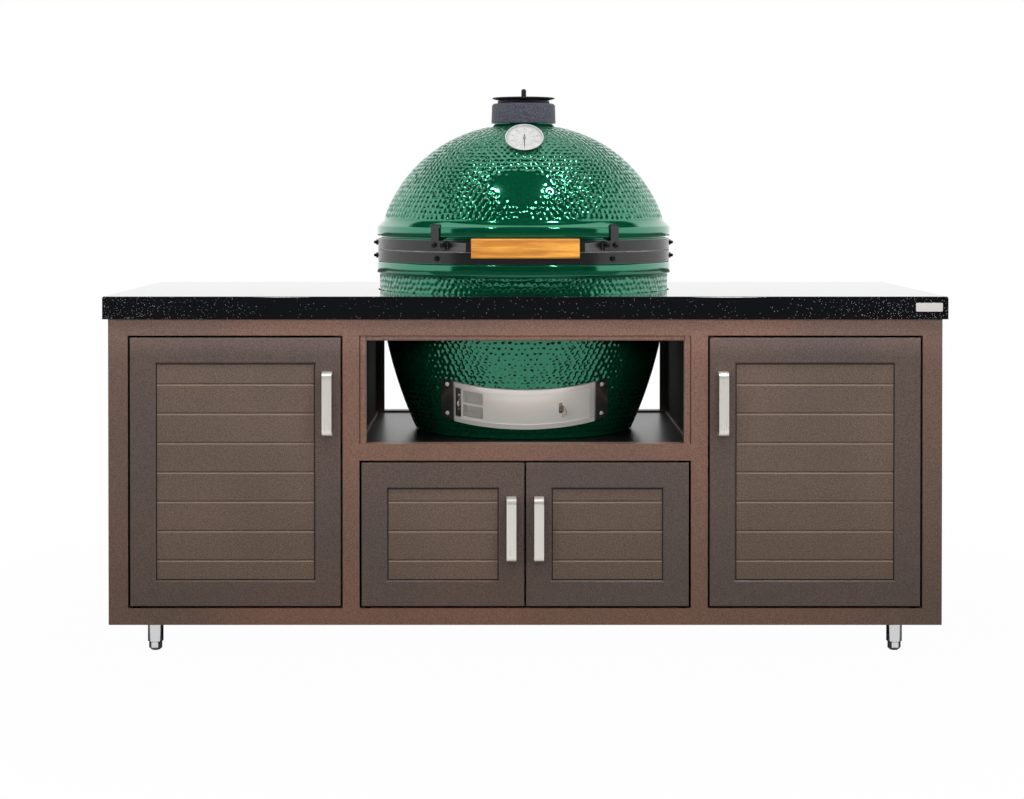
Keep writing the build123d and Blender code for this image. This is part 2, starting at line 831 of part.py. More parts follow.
ear_foot_gap = 1.6
base_foot_y = sqrt(band_outer**2 - (base_ear_x - ear_thickness / 2) ** 2) + ear_foot_gap
lid_foot_y = sqrt(band_outer**2 - (lid_ear_x - ear_thickness / 2) ** 2) + ear_foot_gap
base_bracket_top = base_band_high - hinge_seam_gap
lid_bracket_low = lid_band_low + hinge_seam_gap
write(hinge_bracket(base_band_low, base_bracket_top, base_ear_x, base_foot_y), "base_hinge_bracket")
write(hinge_bracket(lid_bracket_low, lid_band_high, lid_ear_x, lid_foot_y), "lid_hinge_bracket")

pin_end = base_ear_x + ear_thickness
pin_head = 3.0
with BuildPart() as hinge_pin:
    with Locations((0, hinge_y, hinge_z)):
        Cylinder(hinge_pin_radius, 2 * pin_end, rotation=(0, 90, 0))
    with Locations((-pin_end, hinge_y, hinge_z), (pin_end, hinge_y, hinge_z)):
        Cylinder(hinge_pin_radius + pin_head, pin_head, rotation=(0, 90, 0))
write(hinge_pin.part, "hinge_pin")


def coil_point(start_x, quarter):
    """Point on a spring's coil after some quarter turns, from the bottom round the back."""
    angle = radians(quarter * 90 - 90)
    return Vector(
        start_x + spring_pitch * quarter / 4,
        hinge_y + spring_radius * cos(angle),
        hinge_z + spring_radius * sin(angle),
    )


def coil_heading(quarter):
    """Direction of the wire at the same place."""
    angle = radians(quarter * 90 - 90)
    rise = spring_pitch / radians(360)
    return Vector(rise, -spring_radius * sin(angle), spring_radius * cos(angle)).normalized()


def spring_edges(start_x):
    """A leg from the base, quarter turns as pairs of tangent arcs, and a leg to the lid."""
    quarters = spring_turns * 4 + 2
    leg = hinge_y - bracket_outer - spring_leg_gap
    first, last = coil_point(start_x, 0), coil_point(start_x, quarters)
    edges = [Edge.make_line(first - coil_heading(0) * leg, first)]
    for quarter in range(quarters):
        begin, end = coil_point(start_x, quarter), coil_point(start_x, quarter + 1)
        heading, leaving = coil_heading(quarter), coil_heading(quarter + 1)
        span, both, bend = end - begin, heading + leaving, 2 * (1 - heading.dot(leaving))
        reach = (sqrt(span.dot(both) ** 2 + bend * span.dot(span)) - span.dot(both)) / bend
        meeting = (begin + end + (heading - leaving) * reach) * 0.5
        edges.append(Edge.make_tangent_arc(begin, heading, meeting))
        middle = edges[-1] % 1
        edges.append(Edge.make_tangent_arc(meeting, middle, end))
    edges.append(Edge.make_line(last, last + coil_heading(quarters) * leg))
    return edges


def least_gap(edges):
    """Least clear gap between stretches of the wire that are more than half a turn apart."""
    samples = [edge @ (step / 8) for edge in edges[1:-1] for step in range(8)]
    apart = 8 * 4
    return min(
        (samples[j] - samples[i]).length
        for i in range(len(samples))
        for j in range(i + apart, len(samples))
    ) - spring_wire


with BuildPart() as hinge_springs:
    for start_x in (spring_start, -spring_start - spring_pitch * (spring_turns + 0.5)):
        route = spring_edges(start_x)
        print("spring gap", round(least_gap(route), 2))
        with BuildLine() as wire:
            add(route)
        with BuildSketch(Plane(origin=route[0] @ 0, z_dir=route[0] % 0)):
            Circle(spring_wire / 2)
        sweep(path=wire.wire())
write(hinge_springs.part, "hinge_springs")

# Cap nuts on the bands
hinge_bolt_angle = 14.0
hinge_bolt_angles = (180 - hinge_bolt_angle, 180 + hinge_bolt_angle)
strap_outer = clip_radius + clip_thickness
base_nuts = [(band_outer, angle, base_bolt_z, 0) for angle in (-90, 90, -clip_angle, clip_angle)]
base_nuts += [(bracket_outer, angle, base_bolt_z, 0) for angle in hinge_bolt_angles]
write(cap_bolts(base_nuts), "base_band_bolts")
lid_nuts = [(band_outer, angle, lid_bolt_z, 0) for angle in (-90, 90)]
lid_nuts += [
    (strap_outer, side * clip_angle, lid_bolt_z, side * shift)
    for side in (-1, 1)
    for shift in clip_bolt_shifts
]
lid_nuts += [(bracket_outer, angle, lid_bolt_z, 0) for angle in hinge_bolt_angles]
write(cap_bolts(lid_nuts), "lid_band_bolts")

# Fire parts inside the base
grate_low = fire_floor + fire_box_floor
with BuildPart() as fire_box:
    with BuildSketch(Plane.XZ):
        with BuildLine():
            Polyline(
                (grate_radius - grate_ledge, fire_floor),
                (fire_box_foot[1], fire_floor),
                (fire_box_mouth[1], fire_box_top),
                (fire_box_mouth[0], fire_box_top),
                (fire_box_foot[0], grate_low),
                (grate_radius - grate_ledge, grate_low),
                close=True,
            )
        make_face()
    revolve(axis=Axis.Z)
    with Locations((0, fire_box_port_y, fire_floor + fire_box_port_rise)):
        Box(*fire_box_port, mode=Mode.SUBTRACT)
write(fire_box.part, "fire_box")
write(ring(fire_ring_radii[1], fire_ring_radii[0], fire_box_top, fire_ring_top), "fire_ring")

with BuildPart() as fire_grate:
    with BuildSketch(Plane.XY.offset(grate_low)):
        Circle(grate_radius)
        with GridLocations(0, grate_slot_pitch, 1, grate_slots):
            SlotOverall(*grate_slot, mode=Mode.SUBTRACT)
    extrude(amount=grate_thickness)
write(fire_grate.part, "fire_grate")

with BuildPart() as cooking_grid:
    with BuildSketch(Plane.XY.offset(fire_ring_top)):
        Circle(grid_radius)
        Circle(grid_radius - grid_rim, mode=Mode.SUBTRACT)
        bars = int(grid_radius / grid_pitch)
        for number in range(-bars, bars + 1):
            x = number * grid_pitch
            with Locations((x, 0)):
                Rectangle(grid_bar, 2 * sqrt((grid_radius - grid_bar_end) ** 2 - x**2))
        Rectangle(2 * (grid_radius - grid_bar_end), grid_bar)
    extrude(amount=grid_height)
write(cooking_grid.part, "cooking_grid")

# Draft slide: fixed plate with folded rails, mesh screen and plain door on one leaning axis
with BuildPart() as draft_frame:
    add(bent_strip(draft_plane, *plate_radii, -plate_angle, plate_angle, -plate_half, plate_half))
    fillet(draft_frame.edges().sort_by(SortBy.LENGTH)[:4], tab_corner)
    add(bent_strip(draft_plane, *plate_radii, *port_angles, -port_half, port_half), mode=Mode.SUBTRACT)
    for angle in tab_slot_angles:
        for height in (-tab_slot_half, tab_slot_half):
            with BuildSketch(outward_plane(draft_plane, plate_radii[0], angle, height)):
                SlotOverall(*tab_slot, rotation=90)
            extrude(amount=tab_slot[1], both=True, mode=Mode.SUBTRACT)
    for low, high, lip_low, lip_high in (
        (rail_web, plate_half, rail_lip, plate_half),
        (-plate_half, -rail_web, -plate_half, -rail_lip),
    ):
        add(bent_strip(draft_plane, plate_radii[0], rail_radii[1], -rail_angle, rail_angle, low, high))
        add(bent_strip(draft_plane, *rail_radii, -rail_angle, rail_angle, lip_low, lip_high))
write(draft_frame.part, "draft_frame")


def slide_handle(radius, angle, foot, rivet_gap, leaf_middle, leaf_length, leaf_reach, lean):
    """Folded sheet handle on a slide: a foot with two rivets, and a round leaf that leans to the right."""
    seat = outward_plane(draft_plane, radius - handle_sink, angle)
    out = seat.z_dir * cos(radians(lean)) - seat.y_dir * sin(radians(lean))
    leaf_foot = seat.origin - seat.y_dir * (handle_foot_width - handle_sheet) / 2
    leaf_plane = Plane(origin=leaf_foot, x_dir=seat.x_dir, z_dir=seat.x_dir.cross(out))
    with BuildPart() as handle:
        with BuildSketch(seat):
            SlotOverall(foot, handle_foot_width)
        extrude(amount=handle_sink + handle_sheet)
        with BuildSketch(seat.offset(handle_sink + handle_sheet)):
            with Locations((-rivet_gap / 2, 0), (rivet_gap / 2, 0)):
                Circle(rivet_radius)
        extrude(amount=rivet_height, taper=rivet_taper)
        with BuildSketch(leaf_plane):
            with Locations((leaf_middle, 0)):
                Ellipse(leaf_length / 2, leaf_reach)
            with Locations((leaf_middle, leaf_reach / 2)):
                Rectangle(leaf_length, leaf_reach, mode=Mode.INTERSECT)
        extrude(amount=handle_sheet / 2, both=True)
    return handle.part


with BuildPart() as ember_screen:
    add(bent_strip(draft_plane, *screen_radii, *screen_angles, -slide_half, slide_half))
    for low, high in ((screen_bar, port_half), (-port_half, -screen_bar)):
        add(bent_strip(draft_plane, *screen_radii, *screen_window, low, high), mode=Mode.SUBTRACT)
    add(slide_handle(screen_radii[1], screen_handle_angle, *screen_handle))
write(ember_screen.part, "ember_screen")

with BuildPart() as draft_door:
    add(bent_strip(draft_plane, *door_radii, *door_angles, -slide_half, slide_half))
    add(slide_handle(door_radii[1], door_handle_angle, *door_handle))
write(draft_door.part, "draft_door")

# Vent: collar over the neck, swivel plate on a pivot, wheel on the plate's pin
vent_pivot = (vent_pivot_radius * cos(radians(45)), vent_pivot_radius * sin(radians(45)))
pivot_radius = 4.0
pivot_top = 1289.8
with BuildPart() as vent_collar:
    with BuildSketch(Plane.XZ):
        with BuildLine():
            Polyline(
                (neck_radius + collar_fit, collar_low),
                (collar_radius, collar_low),
                (collar_radius - collar_draft, collar_top - collar_chamfer),
                (collar_radius - collar_draft - collar_chamfer, collar_top),
                (collar_throat, collar_top),
                (collar_throat, neck_top + collar_step[1]),
                (collar_step[0], neck_top + collar_step[1]),
                (collar_step[0], neck_top),
                (neck_radius + collar_fit, neck_top),
                close=True,
            )
        make_face()
    revolve(axis=Axis.Z)
    with BuildSketch(Plane.XY.offset(neck_top + collar_step[1])):
        with Locations(vent_pivot):
            Circle(pivot_radius)
    extrude(amount=pivot_top - neck_top - collar_step[1])
write(vent_collar.part, "vent_collar")

with BuildPart() as vent_plate:
    with BuildSketch(Plane.XY.offset(vent_plate_low)):
        Circle(vent_plate_radius)
        with Locations(vent_pivot):
            Circle(vent_pivot_radius - vent_plate_radius + vent_ear)
            Circle(pivot_radius + running, mode=Mode.SUBTRACT)
        with PolarLocations(vent_hole_circle, vent_holes):
            Circle(vent_hole_radius, mode=Mode.SUBTRACT)
    extrude(amount=vent_plate_high - vent_plate_low)
    pin_top = vent_wheel_high + vent_play_above
    for radius, top in ((3 * vent_pin_radius, vent_wheel_low - vent_play_below), (vent_pin_radius, pin_top)):
        with BuildSketch(Plane.XY.offset(vent_plate_high)):
            Circle(radius)
        extrude(amount=top - vent_plate_high)
    with BuildSketch(Plane.XY.offset(pin_top)):
        Circle(2 * vent_pin_radius)
    extrude(amount=vent_pin_head)
write(vent_plate.part, "vent_plate")

with BuildPart() as vent_wheel:
    with BuildSketch(Plane.XY.offset(vent_wheel_low)):
        Circle(vent_wheel_radius)
        Circle(vent_pin_radius + running, mode=Mode.SUBTRACT)
        with PolarLocations(vent_hole_circle, vent_holes):
            Circle(vent_hole_radius, mode=Mode.SUBTRACT)
    extrude(amount=vent_wheel_high - vent_wheel_low)
    rims = vent_wheel.edges().filter_by(GeomType.CIRCLE).sort_by(SortBy.RADIUS)[-2:].sort_by(Axis.Z)
    chamfer(rims[0], vent_wheel_under[0], vent_wheel_under[1])
    fillet(rims[1], vent_wheel_round)
    with BuildSketch(Plane.XY.offset(vent_wheel_low)):
        with Locations((0, vent_knob_y)):
            Circle(vent_knob_radius)
    extrude(amount=vent_knob_top - vent_wheel_low)
    fillet(vent_wheel.faces().sort_by(Axis.Z)[-1].edges(), vent_knob_round)
write(vent_wheel.part, "vent_wheel")

# Thermometer: case with its probe, dial with its spindle, needle and glass
recess = 5.0
with BuildPart() as thermometer_case:
    with BuildSketch(dial_plane):
        Circle(dial_radius)
    extrude(amount=-case_depth / 2)
    with BuildSketch(dial_plane.offset(-case_depth / 2)):
        Circle(dial_radius)
    extrude(amount=-case_depth / 2, taper=case_back_taper)
    with BuildSketch(dial_plane):
        Circle(dial_face_radius + dial_clear)
    extrude(amount=-recess, mode=Mode.SUBTRACT)
    with BuildSketch(dial_plane.offset(-case_depth)):
        Circle(probe_radius)
    extrude(amount=case_depth - probe_length)
write(thermometer_case.part, "thermometer_case")

spindle_radius = 1.5
with BuildPart() as thermometer_dial:
    with BuildSketch(dial_plane.offset(-recess)):
        Circle(dial_face_radius)
    extrude(amount=dial_thickness)
    with BuildSketch(dial_plane.offset(-recess)):
        Circle(spindle_radius)
    extrude(amount=recess - spindle_depth)
write(thermometer_dial.part, "thermometer_dial")

with BuildPart() as thermometer_needle:
    with BuildSketch(dial_plane.offset(-needle_depth)):
        with BuildLine():
            Polyline(
                (-needle_half, 0),
                (-needle_tip_half, -needle_length),
                (needle_tip_half, -needle_length),
                (needle_half, 0),
                close=True,
            )
        make_face()
        with Locations((0, needle_tail / 2)):
            Rectangle(2 * needle_half, needle_tail)
        Circle(needle_hub)
        Circle(spindle_radius + running, mode=Mode.SUBTRACT)
    extrude(amount=needle_thickness)
write(thermometer_needle.part, "thermometer_needle")

with BuildPart() as thermometer_glass:
    with BuildSketch(dial_plane.offset(-glass_depth)):
        Circle(dial_face_radius + dial_clear)
    extrude(amount=glass_thickness)
write(thermometer_glass.part, "thermometer_glass")
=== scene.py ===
import json
import bpy
import numpy as np
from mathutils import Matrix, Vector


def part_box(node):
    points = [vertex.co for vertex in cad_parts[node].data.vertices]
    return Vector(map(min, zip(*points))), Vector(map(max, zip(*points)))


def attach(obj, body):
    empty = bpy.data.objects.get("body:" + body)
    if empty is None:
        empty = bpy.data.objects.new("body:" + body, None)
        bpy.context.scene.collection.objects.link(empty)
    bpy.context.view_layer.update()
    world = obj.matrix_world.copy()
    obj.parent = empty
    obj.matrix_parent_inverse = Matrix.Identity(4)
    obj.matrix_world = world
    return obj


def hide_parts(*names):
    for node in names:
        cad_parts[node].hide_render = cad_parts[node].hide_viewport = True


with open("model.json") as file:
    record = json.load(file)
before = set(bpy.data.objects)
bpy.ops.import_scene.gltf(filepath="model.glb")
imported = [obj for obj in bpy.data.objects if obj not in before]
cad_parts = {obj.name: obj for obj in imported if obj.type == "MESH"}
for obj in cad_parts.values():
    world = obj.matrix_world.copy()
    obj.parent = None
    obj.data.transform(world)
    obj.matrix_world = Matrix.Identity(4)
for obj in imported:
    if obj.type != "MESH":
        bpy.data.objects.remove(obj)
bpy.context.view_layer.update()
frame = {"nodes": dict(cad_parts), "record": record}
nodes = frame["nodes"]
mm = 0.001
print("frame loaded,", len(nodes), "nodes")


def newObject(name, data):
    made = bpy.data.objects.new(name, data)
    bpy.context.scene.collection.objects.link(made)
    return made


# Camera: almost level view from the front, a little left of the middle, framed low by its shift
viewpoint = {
    "place": (-0.053, -5.160, 1.054),
    "lens": 73.3, "sensor": 36.0,
    "tiltDown": 0.7,        # degrees
    "shift": (0.0097, -0.1741),
}


def setCamera():
    lens = bpy.data.cameras.new("camera")
    lens.lens, lens.sensor_width = viewpoint["lens"], viewpoint["sensor"]
    lens.shift_x, lens.shift_y = viewpoint["shift"]
    camera = newObject("camera", lens)
    camera.location = viewpoint["place"]
    camera.rotation_euler = (np.radians(90 - viewpoint["tiltDown"]), 0, 0)
    bpy.context.scene.camera = camera


# Shader kit: a Wire is a socket that takes part in sums, a Maker adds nodes to one tree
def sumWith(operation, swapped=False):
    def made(self, other):
        return self.maker.maths(operation, *((other, self) if swapped else (self, other)))

    return made


class Wire:
    __add__, __radd__ = sumWith("ADD"), sumWith("ADD", True)
    __sub__, __rsub__ = sumWith("SUBTRACT"), sumWith("SUBTRACT", True)
    __mul__, __rmul__ = sumWith("MULTIPLY"), sumWith("MULTIPLY", True)
    __gt__, __lt__ = sumWith("GREATER_THAN"), sumWith("LESS_THAN")

    def __init__(self, maker, socket):
        self.maker, self.socket = maker, socket

    def __abs__(self):
        return self.maker.maths("ABSOLUTE", self)

    def smooth(self, low, high):        # eased step from 0 at low to 1 at high
        return self.maker.node("MapRange", {"interpolation_type": "SMOOTHSTEP"},
                               {"Value": self, "From Min": low, "From Max": high})

    def sway(self, middle, spread):        # half a spread below the middle at 0, half a spread above it at 1
        return middle + (self - 0.5) * spread


class Maker:
    def __init__(self, owner):        # the owner is a material or a world
        owner.use_nodes = True
        self.owner, self.tree = owner, owner.node_tree
        self.tree.nodes.clear()

    def node(self, kind, settings=None, values=None, out=0):
        made = self.tree.nodes.new("ShaderNode" + kind)
        for key, value in (settings or {}).items():
            setattr(made, key, value)
        for key, value in (values or {}).items():
            socket = made.inputs[key]
            if isinstance(value, Wire):
                self.tree.links.new(value.socket, socket)
            elif socket.type == "RGBA":
                socket.default_value = (*value, 1)
            else:
                socket.default_value = value
        return Wire(self, made.outputs[out]) if len(made.outputs) else None

    def maths(self, operation, first, second=0):
        return self.node("Math", {"operation": operation}, {0: first, 1: second})

    def vector(self, operation, first, second=(0, 0, 0)):
        return self.node("VectorMath", {"operation": operation}, {0: first, 1: second})

    def place(self, scale=(1, 1, 1)):        # object coordinates, stretched
        return self.node("Mapping", {}, {"Vector": self.node("TexCoord", out="Object"), "Scale": scale})

    def axes(self, where):
        return [self.node("SeparateXYZ", {}, {"Vector": where}, axis) for axis in "XYZ"]

    def noise(self, where, scale, detail=3, rough=0.5):
        values = {"Vector": where, "Scale": scale, "Detail": detail, "Roughness": rough}
        return self.node("TexNoise", {}, values)

    def cells(self, where, scale, out):
        return self.node("TexVoronoi", {}, {"Vector": where, "Scale": scale}, out)

    def mix(self, first, second, share, blend="MIX"):        # 6, 7 and 2 are the colour sockets of a Mix node
        settings = {"data_type": "RGBA", "blend_type": blend}
        return self.node("Mix", settings, {0: share, 6: first, 7: second}, 2)

    def bump(self, height, look):
        values = {"Height": height, "Distance": look["depth"], "Strength": look["relief"]}
        return self.node("Bump", {}, values)

    def surface(self, **sockets):        # socket names, written with _ for a space
        values = {key.replace("_", " "): value for key, value in sockets.items()}
        self.node("OutputMaterial", {}, {"Surface": self.node("BsdfPrincipled", {}, values)})
        return self.owner


def finish(name):
    return Maker(bpy.data.materials.new(name))


# Studio: pale floor, white walls beside and behind, a dark room in front, two lamps overhead and soft fill
white = (1, 1, 1)
studio = {
    "floorSize": 40.0, "floorColour": (0.18, 0.18, 0.18),
    "floorSeen": 0.985, "whiteFrom": (1.0, 2.4),        # whiteness to the camera, and where it rises to 1
    "floorGloss": 0.78, "glossFade": (3.0, 8.5),        # whiteness to reflections, and where it falls to 0
    "underHalf": (1.25, 0.37),                          # half size of the floor that reflections see dark
    "wall": {"from": -0.53, "top": 0.62, "level": 1.15},        # how far forward and how high the walls reach
    "ceiling": {"from": 0.03, "low": 0.78, "level": 1.15}, "softEdge": 0.03,
}
lamps = {        # only those marked as mirrored show in reflections
    "lampLeft": {"place": (-0.80, -1.22, 3.0), "aim": (0, -0.1, 0.9), "size": (0.15, 0.15), "power": 10,
                 "mirrored": True},
    "lampRight": {"place": (0.72, -1.22, 3.0), "aim": (0, -0.1, 0.9), "size": (0.19, 0.19), "power": 20,
                  "mirrored": True},
    "strip": {"place": (0, -1.6, 1.0), "aim": (0, -0.3, 0.9), "size": (4.0, 0.3), "power": 14.5},
    "top": {"place": (0, -1.6, 2.6), "aim": (0, -0.2, 1.1), "size": (2.4, 0.8), "power": 23},
    "keyLeft": {"place": (-2.3, -2.9, 1.0), "aim": (-0.5, -0.4, 0.5), "size": (0.3, 0.3), "power": 10},
    "keyRight": {"place": (2.3, -2.9, 1.0), "aim": (0.5, -0.4, 0.5), "size": (0.3, 0.3), "power": 10},
}


def setFloor():
    half = studio["floorSize"] / 2
    mesh = bpy.data.meshes.new("floor")
    corners = [(-half, -half, 0), (half, -half, 0), (half, half, 0), (-half, half, 0)]
    mesh.from_pydata(corners, [], [(0, 1, 2, 3)])
    floor = newObject("floor", mesh)
    kit = finish("paleFloor")
    spot = kit.place()
    away = kit.node("VectorMath", {"operation": "LENGTH"}, {0: spot}, "Value")
    seen = studio["floorSeen"] + away.smooth(*studio["whiteFrom"]) * (1 - studio["floorSeen"])
    x, y, _ = kit.axes(spot)
    halfX, halfY = studio["underHalf"]
    beyond = (abs(x) > halfX) + (abs(y) > halfY) > 0.5
    mirrored = beyond * (1 - away.smooth(*studio["glossFade"])) * studio["floorGloss"]
    rays = ("Camera", "Glossy", "Transmission")
    camera, gloss, through = (kit.node("LightPath", out=f"Is {ray} Ray") for ray in rays)
    matt = kit.node("BsdfDiffuse", {}, {"Color": studio["floorColour"]})
    glow = kit.node("Emission", {}, {"Color": white, "Strength": 1.0})
    both = kit.node("MixShader", {}, {0: camera * seen + (gloss + through) * mirrored, 1: matt, 2: glow})
    kit.node("OutputMaterial", {}, {"Surface": both})
    mesh.materials.append(kit.owner)


def setSky():
    sky = Maker(bpy.data.worlds.new("studio"))
    bpy.context.scene.world = sky.owner
    _, back, up = sky.axes(sky.node("TexCoord", out="Generated"))
    wall, ceiling, soft = studio["wall"], studio["ceiling"], studio["softEdge"]

    def past(way, edge):
        return way.smooth(edge - soft, edge + soft)

    sides = past(back, wall["from"]) * (1 - past(up, wall["top"]))
    over = past(back, ceiling["from"]) * past(up, ceiling["low"])
    level = sides * wall["level"] + over * ceiling["level"]
    around, plain = (sky.node("Background", {}, {"Color": white, "Strength": each}) for each in (level, 1.0))
    both = sky.node("MixShader", {}, {0: sky.node("LightPath", out="Is Camera Ray"), 1: around, 2: plain})
    sky.node("OutputWorld", {}, {"Surface": both})


def setLamps():
    for name, lamp in lamps.items():
        light = bpy.data.lights.new(name, "AREA")
        light.shape, (light.size, light.size_y), light.energy = "RECTANGLE", lamp["size"], lamp["power"]
        holder = newObject(name, light)
        holder.location = lamp["place"]
        x, y, z = np.subtract(lamp["place"], lamp["aim"])
        holder.rotation_euler = (np.arctan2(np.hypot(x, y), z), 0, np.arctan2(x, -y))
        holder.visible_glossy = lamp.get("mirrored", False)


# Finishes, each a dictionary and a function, with lengths in metres: a number by a texture's name is its
# scale, a Range is where an eased step begins and ends, a Spread is how far a texture sways the roughness,
# and depth and relief make the bump
clearCoat = {"Coat_Roughness": 0.03, "Coat_IOR": 1.5}
powder = {
    "drift": 2.6, "driftRange": (0.36, 0.64), "endShare": 0.65,
    "grain": 380, "grainRange": (0.30, 0.70), "grainSpread": 0.25, "depth": 0.0005, "relief": 0.5,
    "speckle": ((0.55, 0.53, 0.53), (1.48, 1.46, 1.44)), "speckleShare": 0.85,
    # tints for painted shade near the floor and painted light over a range of heights
    "floorShadeTint": (0.90, 0.85, 0.78), "floorShadeRange": (0.08, 0.45), "paintedLightTint": (1.45, 1.45, 1.51), "shine": 0.4,
}
# painted highlight lines along the lower edge of the panel grooves
grooveHighlight = {"middle": 0.2153, "pitch": 0.0674, "half": (0.0006, 0.0016), "bright": 1.8}


def powderCoat(name, warm, grey, gloss, ends=None, pale=None, groove=None):
    # grained coat whose brown drifts between a redder and a greyer tone, greyer towards the ends, with
    # painted shade deepening it near the floor, painted light paling it over a range of heights and a
    # painted highlight along the lower edge of level grooves
    kit = finish(name)
    spot = kit.place()
    aside, _, height = kit.axes(spot)
    share = kit.noise(spot, powder["drift"], detail=2).smooth(*powder["driftRange"])
    if ends:
        share = share * (1 - powder["endShare"]) + abs(aside).smooth(*ends) * powder["endShare"]
    grain = kit.noise(spot, powder["grain"], rough=0.7)
    speckle = kit.mix(*powder["speckle"], grain.smooth(*powder["grainRange"]))
    colour = kit.mix(kit.mix(warm, grey, share), speckle, powder["speckleShare"], "MULTIPLY")
    # painted shade: darker towards the floor
    colour = kit.mix(colour, powder["floorShadeTint"], 1 - height.smooth(*powder["floorShadeRange"]), "MULTIPLY")
    # painted light: paler over the given heights, where the upper members catch more light
    if pale:
        colour = kit.mix(colour, powder["paintedLightTint"], height.smooth(*pale), "MULTIPLY")
    # painted highlight along the lower edge of each level groove
    if groove:
        off = kit.maths("PINGPONG", height - groove["middle"], groove["pitch"] / 2)
        colour = kit.mix(colour, [c * groove["bright"] for c in warm], 1 - off.smooth(*groove["half"]))
    return kit.surface(Base_Color=colour, Roughness=grain.sway(gloss, powder["grainSpread"]),
                       Specular_IOR_Level=powder["shine"], Normal=kit.bump(grain, powder))


flakes = {
    "cells": 700, "reach": 0.40,                                     # how far a flake fills its cell
    # fewer bare cells towards the ends paint the glints seen there
    "bareMiddle": 0.988, "bareAtGlintEnds": 0.928, "bareTop": 0.996,        # shares of the cells that hold no flake
    "glintEndsRange": (0.55, 0.95), "topRange": (-0.405, -0.398),
    "ground": (0.0030, 0.0036, 0.0045), "pink": (0.85, 0.62, 0.80), "blue": (0.60, 0.85, 0.90),
    "silver": (0.95, 0.95, 0.95), "silverShare": 0.5, "gloss": 0.34, "glossSpread": 0.1,
}


def flakeCoat(name):
    # black coat with sparse bright flakes, each tilted its own way, under a clear gloss; towards the ends
    # of the front edge there are more of them, a painted glint of the lamps that catch the ends
    kit = finish(name)
    spot = kit.place()
    aside, back, _ = kit.axes(spot)
    tint, middle = (kit.cells(spot, flakes["cells"], out) for out in ("Color", "Distance"))
    parts = ("Red", "Green", "Blue")
    red, green, blue = (kit.node("SeparateColor", {}, {"Color": tint}, part) for part in parts)
    fewer = flakes["bareMiddle"] - flakes["bareAtGlintEnds"]
    # more flakes towards the ends: painted glint
    bare = flakes["bareMiddle"] - abs(aside).smooth(*flakes["glintEndsRange"]) * fewer
    bare = bare + back.smooth(*flakes["topRange"]) * (flakes["bareTop"] - bare)
    flake = (red > bare) * (middle < flakes["reach"])
    hue = kit.mix(kit.mix(flakes["pink"], flakes["blue"], green), flakes["silver"], flakes["silverShare"])
    flat = kit.node("NewGeometry", out="Normal")
    tilted = kit.vector("ADD", flat, kit.vector("SUBTRACT", tint, (0.5, 0.5, 0.5)))
    return kit.surface(Base_Color=kit.mix(flakes["ground"], hue, flake), Metallic=flake,
                       Roughness=blue.sway(flakes["gloss"], flakes["glossSpread"]),
                       Normal=kit.mix(flat, kit.vector("NORMALIZE", tilted), flake),
                       Specular_IOR_Level=0.0, Coat_Weight=1.0, **clearCoat)


satin = {"cloud": 9, "cloudLift": 1.5, "grainSpread": 0.2, "depth": 0.0003, "relief": 0.35}


def satinBlack(name, colour, gloss, grainScale=700, shine=0.5):
    # fine-grained coat, clouded towards a paler tone
    kit = finish(name)
    spot = kit.place()
    grain = kit.noise(spot, grainScale, rough=0.6)
    paler = [c * satin["cloudLift"] for c in colour]
    return kit.surface(Base_Color=kit.mix(colour, paler, kit.noise(spot, satin["cloud"], detail=2)),
                       Roughness=grain.sway(gloss, satin["grainSpread"]), Specular_IOR_Level=shine,
                       Normal=kit.bump(grain, satin))


casting = {
    "grain": 260, "grainRange": (0.34, 0.66), "grainShare": 0.7, "grainSpread": 0.3, "gloss": 0.46,
    "pits": 300, "pitRange": (0.0, 0.35), "pitShare": 0.25, "bloom": 30, "shine": 0.3,
    "depth": 0.002, "relief": 0.9,
}


def castIron(name, dark, pale):
    # sand-cast skin: coarse grain, with pits and a faint bloom
    kit = finish(name)
    spot = kit.place()
    grain = kit.noise(spot, casting["grain"], detail=4, rough=0.65)
    pits = kit.cells(spot, casting["pits"], "Distance").smooth(*casting["pitRange"])
    patches = kit.noise(spot, casting["bloom"]) * (1 - casting["grainShare"])
    colour = kit.mix(dark, pale, grain.smooth(*casting["grainRange"]) * casting["grainShare"] + patches)
    height = grain * (1 - casting["pitShare"]) + pits * casting["pitShare"]
    return kit.surface(Base_Color=colour, Roughness=grain.sway(casting["gloss"], casting["grainSpread"]),
                       Specular_IOR_Level=casting["shine"], Normal=kit.bump(height, casting))


def tabShare(kit):        # 1 on the end tabs of the draft slide
    aside, _, _ = kit.axes(kit.place())
    return abs(aside).smooth(*np.multiply(draft["tabFrom"], mm))


def handleShare(kit):        # 1 on what stands proud of the sliding sheets and on the screen's outer end
    x, y, z = kit.axes(kit.place())
    out = y * np.cos(draft["lean"]) + (z - draft["height"] * mm) * np.sin(draft["lean"])
    proud = (x * x + out * out).smooth(*np.multiply(draft["proudFrom"], mm) ** 2)
    return proud + x.smooth(*np.multiply(draft["screenEnd"], mm))


brushing = {
    "plain": (60, 60, 60), "dark": 0.86, "streakSpread": 0.16, "plainSpread": 0.03, "cloud": 12,
    "cloudSpread": 0.06, "depth": 0.00005, "relief": 0.35, "polish": 0.97,
}


